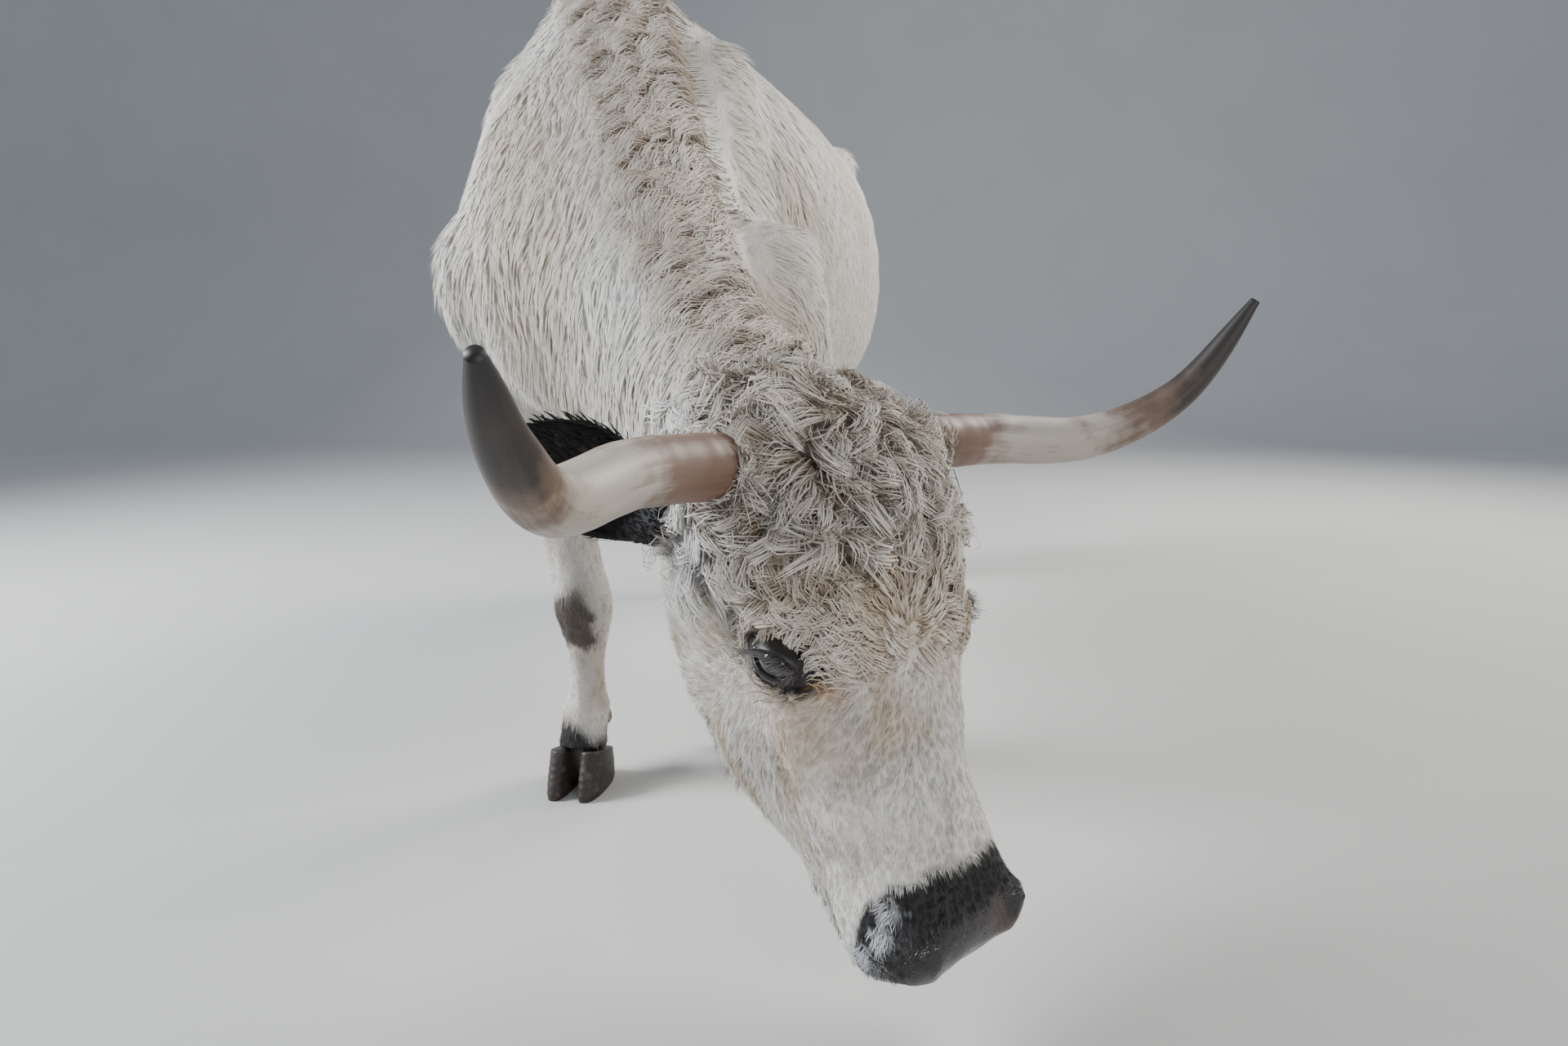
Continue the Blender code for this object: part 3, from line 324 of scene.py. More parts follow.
def coat_paint(p):
    # Colour of the hair and the skin under it at each point.
    f, r, u = head_place(p)
    head = on_head(p)
    body = 1 - head
    colour = np.tile((0.78, 0.745, 0.68), (len(p), 1))

    def lay(tint, amount):
        nonlocal colour
        amount = np.clip(amount, 0, 1)[:, None]
        colour = colour * (1 - amount) + np.array(tint) * amount

    def patches(low, high, size, seed):
        return ease(low, high, bumps(p, size, seed))

    lay((0.66, 0.55, 0.41), 0.45 * patches(0.1, 0.9, 0.16, 3))
    lay((0.86, 0.85, 0.82), 0.55 * patches(0.0, 0.9, 0.12, 4))
    # Tan along the mane, partly the tan of its hair and partly painted shade under its waves; tan on the poll
    # and at the whorl
    mane = np.linalg.norm(from_line(p, MANE)[0], axis=1)
    lay((0.52, 0.38, 0.24), 0.62 * body * ease(0.075, 0.015, mane) * patches(-0.4, 0.5, 0.05, 5))
    poll = head * ease(0.20, 0.10, f) * ease(-0.12, -0.05, u)
    lay((0.47, 0.41, 0.33), 0.75 * poll)
    lay((0.50, 0.37, 0.24), 0.45 * poll * patches(0.1, 0.8, 0.03, 6))
    whorl = np.hypot(f - WHORL[0], r - WHORL[1])
    lay((0.50, 0.32, 0.17), 0.6 * head * ease(0.022, 0.0, whorl) * (u > -0.05))
    # Painted shade: the bridge of the nose greyed as in shade; tan and grey patches on the cheeks; painted
    # shade as a darker tan band where bridge meets cheek
    bridge_shade = apart((f - 0.320, 0.080), (r, 0.055), (u - 0.01, 0.05))
    lay((0.56, 0.57, 0.58), 0.45 * head * ease(1.2, 0.4, bridge_shade))
    lay((0.60, 0.50, 0.38), 0.40 * head * ease(0.30, 0.15, f) * ease(-0.08, -0.02, u))
    lay((0.55, 0.42, 0.28), 0.65 * head * patches(-0.1, 0.7, 0.045, 16) * ease(0.40, 0.33, f))
    # Painted shade: a darker tan band where the bridge of the nose meets the cheek
    groove_shade = apart((f - 0.285, 0.075), (np.abs(r) - 0.080, 0.030), (u + 0.030, 0.035))
    lay((0.46, 0.35, 0.23), 0.45 * head * ease(1.1, 0.3, groove_shade))
    lay((0.50, 0.47, 0.44), 0.40 * head * patches(0.1, 0.9, 0.030, 17))
    # Earth on the lower legs
    lay((0.36, 0.27, 0.18), (0.25 + 0.35 * bumps(p, 0.05, 7)) * ease(0.50, 0.15, p[:, 2]) * body)
    # Black points: knee patches, pasterns, eye rims, muzzle
    black = (0.0060, 0.0055, 0.0058)
    for knee in KNEES:
        far = apart(*zip((p - WITHERS - knee).T, KNEE_PATCH)) + 0.18 * bumps(p, 0.03, 9)
        lay((0.040, 0.024, 0.015), 0.92 * body * ease(1.15, 0.80, far))
    lay(black, ease(0.128, 0.092, p[:, 2] + 0.022 * bumps(p, 0.05, 10)) * body)
    for side in SIDES.values():
        centre, along, rise, out = eye_frame(side)
        a, b, proud = (p - centre) @ along, (p - centre) @ rise, (p - centre) @ out
        ring = apart((a - 0.006, EYE_PATCH[0]), (b - 0.003, EYE_PATCH[1])) + 0.10 * bumps(p, 0.015, 11)
        lay(black, ease(1.05, 0.80, ring) * (proud > -0.02) * head)
        tear = apart((a - 0.060, 0.022), (b + 0.004, 0.014))
        lay((0.50, 0.26, 0.08), 0.55 * ease(1.2, 0.4, tear) * (proud > -0.05) * head)
    edge = 0.403 + 0.20 * np.clip(np.abs(r) - 0.065, 0, 1)
    lip = -0.056 - 0.66 * (f - 0.395) + 0.006 * bumps(p, 0.03, 13)
    muzzle = ease(-0.004, 0.006, f - edge + 0.005 * bumps(p, 0.02, 12)) * ease(-0.004, 0.004, u - lip)
    lay(black, muzzle * head)
    # White flecks beside her right nostril, the wet plate, the lips and the udder
    speckle = 0.30 * bumps(p, 0.008, 14) + 0.55 * bumps(p, 0.0022, 18)
    for spot_f, spot_u, size in WHITE_SPOTS:
        spot = apart((f - spot_f, size), (r - 0.078, size), (u - spot_u, size))
        lay((0.50, 0.51, 0.53), 0.45 * head * ease(1.15, 0.85, spot + speckle))
    plate = nose_plate(p)
    lay((0.022, 0.019, 0.019), 0.9 * plate)
    lay((0.10, 0.050, 0.040), 0.6 * plate * ease(0.00, -0.05, r) * patches(-0.3, 0.4, 0.02, 19))
    gap, along = mouth_distance(p)
    lay((0.012, 0.009, 0.008), head * np.exp(-(gap * HEAD_SCALE / 0.005) ** 2) * along)
    lay((0.55, 0.36, 0.30), 0.9 * on_udder(p))
    return np.clip(colour, 0, 1)


def store(mesh, name, values, kind="FLOAT_COLOR"):
    layer = mesh.attributes.new(name, kind, "POINT")
    if kind == "FLOAT_COLOR":
        full = np.ones((len(values), 4), np.float32)
        full[:, :3] = values
        layer.data.foreach_set("color", full.ravel())
    else:
        layer.data.foreach_set("value", np.asarray(values, np.float32))


store(skin.data, "paint", coat_paint(points_of(skin.data)))
store(skin.data, "wet", nose_plate(points_of(skin.data)), "FLOAT")


def add_node(tree, kind, links=None, **values):
    # A node with its links given by socket and its settings and values by name.
    node = tree.nodes.new(kind)
    for key, value in values.items():
        if hasattr(node, key):
            setattr(node, key, value)
        else:
            node.inputs[key.replace("_", " ")].default_value = value
    for key, source in (links or {}).items():
        tree.links.new(source, node.inputs[key])
    return node


class Finish:
    # One material, and the short ways to build it.
    def __init__(self, name):
        self.made = bpy.data.materials.new(name)
        self.made.use_nodes = True
        self.tree = self.made.node_tree
        self.shader = self.tree.nodes["Principled BSDF"]

    def add(self, kind, links=None, **values):
        return add_node(self.tree, "ShaderNode" + kind, links, **values)

    def give(self, socket, value):
        if isinstance(value, float):
            self.shader.inputs[socket].default_value = value
        else:
            self.tree.links.new(value, self.shader.inputs[socket])

    def place(self):
        return self.add("TexCoord").outputs["Object"]

    def attribute(self, name, output="Fac"):
        return self.add("Attribute", attribute_name=name).outputs[output]

    def noise(self, scale, detail=3.0, place=None, rough=0.55):
        # Cloudy value; three scales stretch it.
        place = place or self.place()
        if isinstance(scale, tuple):
            place = self.add("Mapping", {"Vector": place}, Scale=scale).outputs["Vector"]
            scale = 1.0
        node = self.add("TexNoise", {"Vector": place}, Scale=scale, Detail=detail, Roughness=rough)
        return node.outputs["Fac"]

    def bump(self, height, strength, distance):
        node = self.add("Bump", {"Height": height}, Strength=strength, Distance=distance)
        self.give("Normal", node.outputs["Normal"])

    def ramp(self, source, low, high, start=0.0, end=1.0):
        return self.add("MapRange", {"Value": source}, From_Min=start, From_Max=end, To_Min=low,
                        To_Max=high).outputs["Result"]

    def math(self, operation, first, second):
        return self.add("Math", {0: first, 1: second}, operation=operation).outputs["Value"]

    def bands(self, source, rows):
        # Colours in bands, from rows of place and colour.
        node = self.add("ValToRGB", {"Fac": source})
        elements = node.color_ramp.elements
        while len(elements) < len(rows):
            elements.new(0.5)
        for element, (place, tint) in zip(elements, rows):
            element.position = place
            element.color = (*tint, 1)
        return node.outputs["Color"]

    def blend(self, share, low, high):
        # Between two colours.
        mix = self.add("Mix", {0: share}, data_type="RGBA")
        for socket, tint in ((6, low), (7, high)):
            if isinstance(tint, tuple):
                mix.inputs[socket].default_value = (*tint, 1)
            else:
                self.tree.links.new(tint, mix.inputs[socket])
        return mix.outputs[2]

    def shaded(self, colour, shade):
        # Base colour: a colour times a shade.
        mix = self.add("Mix", {6: colour, 7: shade}, data_type="RGBA", blend_type="MULTIPLY")
        mix.inputs[0].default_value = 1.0
        self.give("Base Color", mix.outputs[2])


def finish_piece(piece, finish, slot, *replaced):
    if not piece.data.materials:
        piece.data.materials.append(finish.made)
    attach(piece, "root")
    if replaced:
        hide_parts(*replaced)


hide = Finish("white_hide")
fleck = hide.noise((420.0, 90.0, 150.0))
hide.shaded(hide.attribute("paint", "Color"), hide.ramp(fleck, 0.55, 1.15))
wet = hide.attribute("wet")
hide.give("Roughness", hide.ramp(wet, 0.65, 0.26))
cells = hide.add("TexVoronoi", {"Vector": hide.place()}, feature="DISTANCE_TO_EDGE", Scale=300.0)
beads = hide.ramp(cells.outputs["Distance"], 0.0, 1.0, 0.0, 0.12)
relief = hide.add("Mix", {0: wet, 2: fleck, 3: beads}, data_type="FLOAT")
hide.bump(relief.outputs[0], strength=0.5, distance=0.003)
finish_piece(skin, hide, "white_coat", *FLESH)

# Coat. Creamy white winter hair lies in small pointed locks along the body: short on the
# face and legs, 3 to 4 cm and wavy on the neck and shoulders, combed down and back from
# the crest and outward from the whorl of the forehead.

def near_order(p):
    # An order in which neighbours in space stay close together.
    cell = np.floor((p - p.min(0)) / 0.02).astype(np.int64)
    key = np.zeros(len(p), np.int64)
    for bit in range(7):
        for axis in range(3):
            key |= ((cell[:, axis] >> bit) & 1) << (3 * bit + axis)
    return np.argsort(key, kind="stable")


class Ground:
    # A surface that hair grows on.
    def __init__(self, mesh):
        mesh.calc_loop_triangles()
        tri = np.empty(len(mesh.loop_triangles) * 3, np.int32)
        mesh.loop_triangles.foreach_get("vertices", tri)
        self.tri = tri.reshape(-1, 3)
        self.co = points_of(mesh)
        self.normal = normals_of(mesh)
        a, b, c = (self.co[self.tri[:, k]] for k in range(3))
        self.area = 0.5 * np.linalg.norm(np.cross(b - a, c - a), axis=1)
        self.middle = (a + b + c) / 3
        self.order = near_order(self.middle)

    def roots(self, density, seed):
        # Even roots and their normals, density in roots per square metre for each triangle.
        chance = np.random.default_rng(seed)
        total = np.cumsum((self.area * density)[self.order])
        count = int(total[-1])
        marks = (np.arange(count) + chance.uniform(0, 1, count)) * (total[-1] / count)
        picked = self.order[np.clip(np.searchsorted(total, marks), 0, len(self.order) - 1)]
        a = chance.uniform(0, 1, count)
        b = chance.uniform(0, 1, count)
        flip = a + b > 1
        a[flip], b[flip] = 1 - a[flip], 1 - b[flip]
        w = np.stack((1 - a - b, a, b), 1)[:, :, None]
        place = (self.co[self.tri[picked]] * w).sum(1)
        return place, unit((self.normal[self.tri[picked]] * w).sum(1))


def flat_on(way, normal):
    way = way - normal * (way * normal).sum(1, keepdims=True)
    return way / np.maximum(np.linalg.norm(way, axis=1, keepdims=True), 1e-6)


def turned(way, normal, angle):
    c, s = np.cos(angle)[:, None], np.sin(angle)[:, None]
    return way * c + np.cross(normal, way) * s


def lie(p, n):
    # Direction in which the hair lies.
    f, r, u = head_place(p)
    head = on_head(p)[:, None]
    away, ahead = from_line(p, PARTING)
    far = np.linalg.norm(away, axis=1)
    across = np.cross(n, ahead)
    side = np.sign((away * across).sum(1))
    out = across * side[:, None]
    down = np.array((0.0, 0.0, -1.0))
    # Trunk: back and down
    back = np.array((0.0, 1.0, 0.0)) + out * 0.35 + down * ease(0.03, 0.30, far)[:, None] * 0.9
    leg = ease(0.68, 0.52, p[:, 2])[:, None]
    back = back * (1 - leg) + np.array((0.0, 0.15, -1.0)) * leg
    # Neck and shoulders: out from the parting, then down
    fall = ease(0.05, 0.24, far)[:, None]
    front = out * (1.0 - 0.88 * fall) + down * (0.18 + 0.95 * fall) + ahead * 0.12
    neck = (ease(0.10, -0.25, p[:, 1]) * (1 - leg[:, 0]))[:, None]
    way = back * (1 - neck) + front * neck
    # Face: outward from the whorl, and down the cheeks
    df, dr = f - WHORL[0], r - WHORL[1]
    ring = np.sqrt(df * df + dr * dr) + 1e-4
    radial = FACE * (df / ring)[:, None] + RIGHT * (dr / ring)[:, None]
    swirl = FACE * (-dr / ring)[:, None] + RIGHT * (df / ring)[:, None]
    radial = radial + swirl * (0.9 * np.exp(-ring / 0.03))[:, None]
    below = ease(0.16, 0.30, f)[:, None]
    face = radial + FACE * (0.45 * below) - BROW * (0.45 * ease(0.0, -0.10, u))[:, None]
    way = way * (1 - head) + face * head
    return flat_on(way, n)


def lock_paths(root, normal, way, length, depth, rings, sink=0.0018):
    # Centre lines of short locks: out of the skin and flat along it.
    path = np.empty((len(root), rings + 1, 3))
    for k in range(rings + 1):
        t = k / rings
        climb = -sink + (depth + sink) * (1 - (1 - t) ** 1.8)
        climb = np.broadcast_to(climb, len(root))[:, None]
        path[:, k] = root + way * (length * t)[:, None] + normal * climb
    return path


def clumped(root, per, seed):
    # For each root, the one at the heart of its clump of about the given number.
    chance = np.random.default_rng(seed)
    heads = chance.choice(len(root), max(1, len(root) // per), replace=False)
    tree = KDTree(len(heads))
    for k in heads:
        tree.insert(root[k], int(k))
    tree.balance()
    return np.array([tree.find(spot)[1] for spot in root])


def drawn(path, mine, pull, start=1.4):
    # Locks drawn towards the heart of their clump, most at their tips.
    share = (np.arange(path.shape[1]) / (path.shape[1] - 1)) ** start
    pull = np.broadcast_to(pull, len(path))[:, None, None]
    return path + (path[mine] - path) * share[None, :, None] * pull


skin_tree = BVHTree.FromObject(skin, bpy.context.evaluated_depsgraph_get())


def walked(root, normal, way, length, bend, height):
    # Centre lines of long locks that keep to the skin and bend over it; bend holds the
    # turn of each step from the way, height the distance from the skin at its end.
    rings = bend.shape[1]
    path = np.empty((len(root), rings + 1, 3))
    path[:, 0] = root
    up = normal.copy()
    ups = [up]
    for k in range(rings):
        step = turned(flat_on(way, up), up, bend[:, k])
        spot = path[:, k] + step * (length / rings)[:, None]
        found = [skin_tree.find_nearest(q) for q in spot]
        path[:, k + 1] = [hit[0] for hit in found]
        up = unit(0.5 * up + 0.5 * np.array([hit[1] for hit in found]))
        ups.append(up)
    path[:, 0] -= ups[0] * 0.002
    for k in range(rings):
        path[:, k + 1] += ups[k + 1] * height[:, k][:, None]
    return path


TAPER = 1.15
BAKE_PATCH = 0.003
TRUNK_AXIS = (-0.232, 0.93)
LEG_AXES = [(-0.38, -0.33), (-0.07, -0.15), (-0.38, 0.98), (-0.07, 0.98)]
LEG_TOP = 0.62


def around(x, y):
    # Angle round an axis, from 0 to 1.
    return np.arctan2(x, y) / (2 * np.pi) + 0.5


def unwrap(p):
    # Cylinder around each limb, the trunk and the head, laid side by side on the map.
    f, r, u = head_place(p)
    head = (on_head(p) > 0.5)[:, None]
    x, y, z = p.T
    turn = around(x - TRUNK_AXIS[0], z - TRUNK_AXIS[1])
    spot = np.stack((0.02 + 0.96 * (y + 0.80) / 2.1, 0.02 + 0.46 * turn), 1)
    for k, (leg_x, leg_y) in enumerate(LEG_AXES):
        mine = ((x < TRUNK_AXIS[0]) == (leg_x < TRUNK_AXIS[0])) & ((y < 0.3) == (leg_y < 0.3)) & (z < LEG_TOP)
        turn = around(x - leg_x, y - leg_y)
        leg = np.stack((0.50 + 0.12 * k + 0.11 * turn, 0.52 + 0.46 * z / LEG_TOP), 1)
        spot = np.where(mine[:, None], leg, spot)
    face = np.stack((0.02 + 0.44 * around(r, u + 0.12), 0.52 + 0.46 * (f + 0.15) / 0.70), 1)
    return np.clip(np.where(head, face, spot), 0.004, 0.996)


def lock_faces(rings):
    # Triangles of one lock, and which of them are its underside.
    faces, under = [(0, 2, 1)], [1]
    for k in range(rings - 1):
        for i in range(3):
            a, b = 3 * k + i, 3 * k + (i + 1) % 3
            faces += [(a, b, b + 3), (a, b + 3, a + 3)]
            under += [i == 0, i == 0]
    last = 3 * (rings - 1)
    faces += [(last + i, last + (i + 1) % 3, rings * 3) for i in range(3)]
    return np.array(faces), np.array(under + [1, 0, 0], bool)


def add_map(mesh, name, x, y):
    layer = mesh.uv_layers.new(name=name)
    layer.uv.foreach_set("vector", np.stack((x, y), 1).astype(np.float32).ravel())
    return layer


def locks(name, path, normal, width, seed, ridge=0.20, tone=None, base=None, shade=(0.85, 1.05),
          tone_spread=0.05, calm=0.5):
    # Closed three-sided tapering locks along their centre lines, as one mesh. The ridge is
    # their thickness in widths, and calm is how far they are lit as the skin below is.
    chance = np.random.default_rng(seed)
    count, rings = path.shape[0], path.shape[1] - 1
    heading = np.gradient(path, axis=1)
    across = unit(np.cross(normal[:, None, :], heading))
    out = unit(np.cross(heading, across))
    per = rings * 3 + 1
    verts = np.empty((count, per, 3))
    facing = np.empty((count, per, 3))
    for k in range(rings):
        t = k / rings
        size = np.broadcast_to(width * (0.75 + 0.9 * t - TAPER * t * t), count)[:, None]
        for corner, aside, up, lean in ((0, -0.5, 0, -0.45), (1, 0.5, 0, 0.45), (2, 0, ridge, 0)):
            verts[:, 3 * k + corner] = path[:, k] + (across[:, k] * aside + out[:, k] * up) * size
            facing[:, 3 * k + corner] = out[:, k] + across[:, k] * lean
    verts[:, -1] = path[:, -1]
    facing[:, -1] = out[:, -1]
    facing = unit(facing * (1 - calm) + normal[:, None, :] * calm)
    faces, under = lock_faces(rings)
    loops = (faces[None, :, :] + (np.arange(count) * per)[:, None, None]).ravel()
    made = bpy.data.meshes.new(name)
    made.vertices.add(count * per)
    made.loops.add(len(loops))
    made.polygons.add(len(loops) // 3)
    made.vertices.foreach_set("co", verts.astype(np.float32).ravel())
    made.loops.foreach_set("vertex_index", loops.astype(np.int32))
    made.polygons.foreach_set("loop_start", np.arange(0, len(loops), 3, dtype=np.int32))
    made.update(calc_edges=True)
    made.shade_smooth()
    root = path[:, 0]
    tone = coat_paint(root) if tone is None else tone
    tone = tone * (1 + tone_spread * chance.normal(size=(count, 1)))
    x = np.tile(np.append(np.tile((0.0, 1.0, 0.5), rings), 0.5), count)
    y = np.tile(np.append(np.repeat(np.arange(rings), 3) / rings, 1.0), count)
    # Each lock goes from shade[0] at the root to shade[1] at the tip: darker roots are painted shade deep in
    # the coat, and darker tips, as on the switch, are earth stain
    full = np.repeat(tone, per, 0) * (shade[0] + (shade[1] - shade[0]) * y)[:, None]
    # Base, where given, is the colour at the roots: partly the tan of the hair and partly painted shade in
    # the hollows of the coat
    if base is not None:
        deep = (1 - ease(0.05, 0.75, y))[:, None]
        full = full * (1 - deep) + np.repeat(base, per, 0) * deep
    store(made, "paint", np.clip(full, 0, 1))
    shift = np.repeat(chance.uniform(0, 20, count), per)
    add_map(made, "Strand", (x + shift)[loops], (y + shift * 3.1)[loops])
    place = np.repeat(unwrap(root), per, 0)
    bake = add_map(made, "OFBake", (place[:, 0] + (x - 0.5) * BAKE_PATCH)[loops],
                   (place[:, 1] + (y - 0.5) * BAKE_PATCH)[loops])
    bake.active_render = True
    made.uv_layers.active = bake
    # Each side of a lock is lit as the coat around it is; its underside faces the skin
    corner = facing.reshape(-1, 3)[loops]
    below = np.tile(np.repeat(under, 3), count)
    corner[below] = -np.repeat(out[:, :1], per, 1).reshape(-1, 3)[loops][below]
    made.normals_split_custom_set(corner.astype(np.float32))
    return linked(name, made)


hair = Finish("coat_hair")
strands = hair.noise((7.0, 0.8, 1.0), 2.0, hair.add("UVMap", uv_map="Strand").outputs["UV"])
hair.shaded(hair.attribute("paint", "Color"), hair.ramp(strands, 0.62, 1.30))
hair.give("Roughness", 0.55)
hair.give("Specular IOR Level", 0.25)
hair.bump(strands, strength=0.6, distance=0.0012)
LARGEST_PIECE = 190000


def lay_coat(name, path, normal, width, seed, base=None, tone=None, **more):
    # Coat of one region, in pieces small enough to keep every face.
    pieces = math.ceil(len(path) * (6 * (path.shape[1] - 1) - 2) / LARGEST_PIECE)
    order = np.argsort(path[:, 0, 1], kind="stable")
    for k, part in enumerate(np.array_split(order, pieces)):
        deep, over = (None if values is None else values[part] for values in (base, tone))
        piece = locks(f"{name}_{k + 1}", path[part], normal[part], width, seed + k, base=deep, tone=over,
                      **more)
        finish_piece(piece, hair, "white_coat")


def combed(root, normal, chance, swirls, scatter):
    # The lie of the hair, turned by swirls (turn, size, seed) and a little at random.
    turn = sum(most * bumps(root, size, seed) for most, size, seed in swirls)
    return turned(lie(root, normal), normal, turn + scatter * chance.normal(size=len(root)))


def varied(chance, root, spread):
    return chance.uniform(1 - spread, 1 + spread, len(root))


def flat_coat(name, density, seeds, swirls, scatter, length, depth, rings, width, clump, pull, calm):
    # Plain coat that lies along the body, drawn together in clumps of so many locks.
    root, normal = ground.roots(density, seeds[0])
    chance = np.random.default_rng(seeds[1])
    way = combed(root, normal, chance, swirls, scatter)
    length = length * varied(chance, root, 0.25)
    path = lock_paths(root, normal, way, length, depth, rings)
    lay_coat(name, drawn(path, clumped(root, clump, seeds[2]), pull), normal, width, seeds[3], calm=calm)


ground = Ground(skin.data)
mid = ground.middle
mid_f, mid_r, mid_u = head_place(mid)
mid_head = on_head(mid)
bare = np.maximum(nose_plate(mid), on_udder(mid) > 0)
for side in SIDES.values():
    centre, along, rise, out = eye_frame(side)
    d = mid - centre
    socket = apart((d @ along, 0.032), (d @ rise, 0.021)) < 1
    bare = np.maximum(bare, socket * (d @ out > -0.02) * mid_head)
brow_top = ease(-0.085, -0.05, mid_u) * mid_head * (1 - bare)

# Face and cheeks: short, close and flat
long_hair = ease(0.235, 0.20, mid_f) * brow_top
root, normal = ground.roots(138000 * mid_head * (1 - 0.75 * long_hair) * (1 - bare), seed=21)
f, r, u = head_place(root)
chance = np.random.default_rng(22)
way = combed(root, normal, chance, ((0.34, 0.030, 31), (0.25, 0.011, 35)), 0.13)
cheek = ease(0.36, 0.26, f) * ease(-0.07, -0.12, u)
length = (0.0165 + 0.010 * cheek) * (1 - 0.40 * ease(0.38, 0.42, f)) * varied(chance, root, 0.3)
mine = clumped(root, per=10, seed=34)
path = lock_paths(root, normal, way, length, depth=0.0024 + 0.003 * cheek, rings=1)
path = drawn(path, mine, pull=0.50)
face_tone = coat_paint(root) * (1 + 0.09 * chance.normal(size=len(root))[mine])[:, None]
# Roots far darker than tips: painted shade deep in the coat, which marks the streaks between clumps
lay_coat("face_coat", path, normal, width=0.0016, seed=41, tone=face_tone, shade=(0.60, 1.12),
         tone_spread=0.10, calm=0.5)

# Forehead: 4 cm long, in small waves that run out from the whorl
FULL_TURN = 6.28
front = ease(0.245, 0.19, mid_f) * ease(0.03, 0.08, mid_f) * brow_top
root, normal = ground.roots(84000 * front, seed=23)
pale_root = coat_paint(root).mean(1) > 0.25
root, normal = root[pale_root], normal[pale_root]
f, r, u = head_place(root)
count = len(root)
chance = np.random.default_rng(24)
mine = clumped(root, per=16, seed=25)
whorl = np.hypot(f - WHORL[0], r - WHORL[1])
low_edge = ease(0.250, 0.205, f)
length = (0.020 + 0.028 * ease(0.0, 0.06, whorl)) * varied(chance, root, 0.2) * (0.45 + 0.55 * low_edge)
wave = (0.35 + 0.65 * ease(0.015, 0.07, whorl))[:, None]
phase = (FULL_TURN * bumps(root, 0.07, 26) + chance.normal(0, 0.4, count))[mine]
phase += chance.normal(0, 0.2, count)
bend = wave * 0.95 * np.sin(phase[:, None] + 1.8 * np.arange(4)) + 0.7 * bumps(root, 0.06, 27)[mine][:, None]
bend += (0.22 * bumps(root, 0.02, 28) + chance.normal(0, 0.10, count))[:, None]
height = 0.0030 + wave * np.array((0.002, 0.005, 0.005, 0.002))
height *= (varied(chance, root, 0.4)[mine] * varied(chance, root, 0.2) * (0.5 + 0.5 * low_edge))[:, None]
path = drawn(walked(root, normal, lie(root, normal), length, bend, height), mine, pull=0.50)
# Tan at the roots: partly the tan of the hair and partly painted shade between the waves
tan_and_shaded_roots = np.outer(varied(chance, root, 0.2), (0.30, 0.22, 0.145))
lay_coat("forehead_coat", path, normal, width=0.0016, seed=42, base=tan_and_shaded_roots, shade=(0.95, 1.22),
         tone_spread=0.08, calm=0.45)

# Neck, shoulders and chest: long, hanging straight from the parting
body = 1 - mid_head
above = ease(0.56, 0.66, mid[:, 2])
fore = ease(0.20, 0.02, mid[:, 1] + 0.2)
mane_far = np.linalg.norm(from_line(mid, MANE)[0], axis=1)
in_mane = ease(0.085, 0.050, mane_far) * ease(0.06, -0.06, mid[:, 1] + 0.2)
flat_coat("neck_coat", 19000 * body * fore * above * (1 - 0.8 * in_mane), (51, 52, 56, 61),
          ((0.26, 0.09, 53), (0.14, 0.025, 54)), scatter=0.07, length=0.044, depth=0.0050, rings=2,
          width=0.0028, clump=10, pull=0.35, calm=0.6)

# Mane: long waves that rise from the parting, arch over the crest and hang down its side
root, normal = ground.roots(58000 * in_mane, seed=57)
count = len(root)
chance = np.random.default_rng(58)
mine = clumped(root, per=32, seed=59)
away, ahead = from_line(root, PARTING)
aside = np.cross(normal, ahead)
way = flat_on(aside * np.sign((away * aside).sum(1))[:, None], normal)
spin = np.sign((np.cross(way, -ahead) * normal).sum(1))
arch = 0.35 * bumps(root, 0.05, 63) + chance.normal(0, 0.15, count)[mine] + chance.normal(0, 0.10, count)
steps = (np.arange(4) + 0.5) / 4
bend = spin[:, None] * (0.55 + arch[:, None] - 2.3 * steps ** 1.3)
length = (0.062 + chance.normal(0, 0.006, count)[mine]) * varied(chance, root, 0.2)
tall = varied(chance, root, 0.25)[mine] * (1 + 0.35 * bumps(root, 0.035, 64))
height = tall[:, None] * np.array((0.0070, 0.0120, 0.0100, 0.0045)) * chance.uniform(0.6, 1.2, (count, 1))
path = drawn(walked(root, normal, way, length, bend, height), mine, pull=0.50)
# Tan at the roots: partly the tan of the hair and partly painted shade under the arches of the waves
tan_and_shaded_roots = np.outer(varied(chance, root, 0.25), (0.34, 0.24, 0.15))
cream = np.outer(1 + 0.06 * chance.normal(size=count)[mine], (0.77, 0.72, 0.64))
lay_coat("mane", path, normal, width=0.0017, seed=62, base=tan_and_shaded_roots, tone=cream, shade=(0.90, 1.20),
         tone_spread=0.09, calm=0.35)

# Trunk and thighs plain and close, legs and tail short and flat
flat_coat("trunk_coat", 21000 * body * (1 - fore) * above * (1 - bare), (71, 72, 75, 81),
          ((0.22, 0.08, 73), (0.12, 0.025, 76)), scatter=0.07, length=0.034, depth=0.0034, rings=1,
          width=0.0034, clump=9, pull=0.30, calm=0.65)
flat_coat("leg_coat", 30000 * body * (1 - above) * (1 - bare), (91, 92, 95, 96),
          ((0.2, 0.04, 93),), scatter=0.10, length=0.018, depth=0.0024, rings=1,
          width=0.0028, clump=8, pull=0.35, calm=0.6)

# Poll curls. Woolly grey-cream locks 5 to 8 cm long crowd between the horns; each rises
# from the crown, bends over and coils at its end, and they cross in all directions.

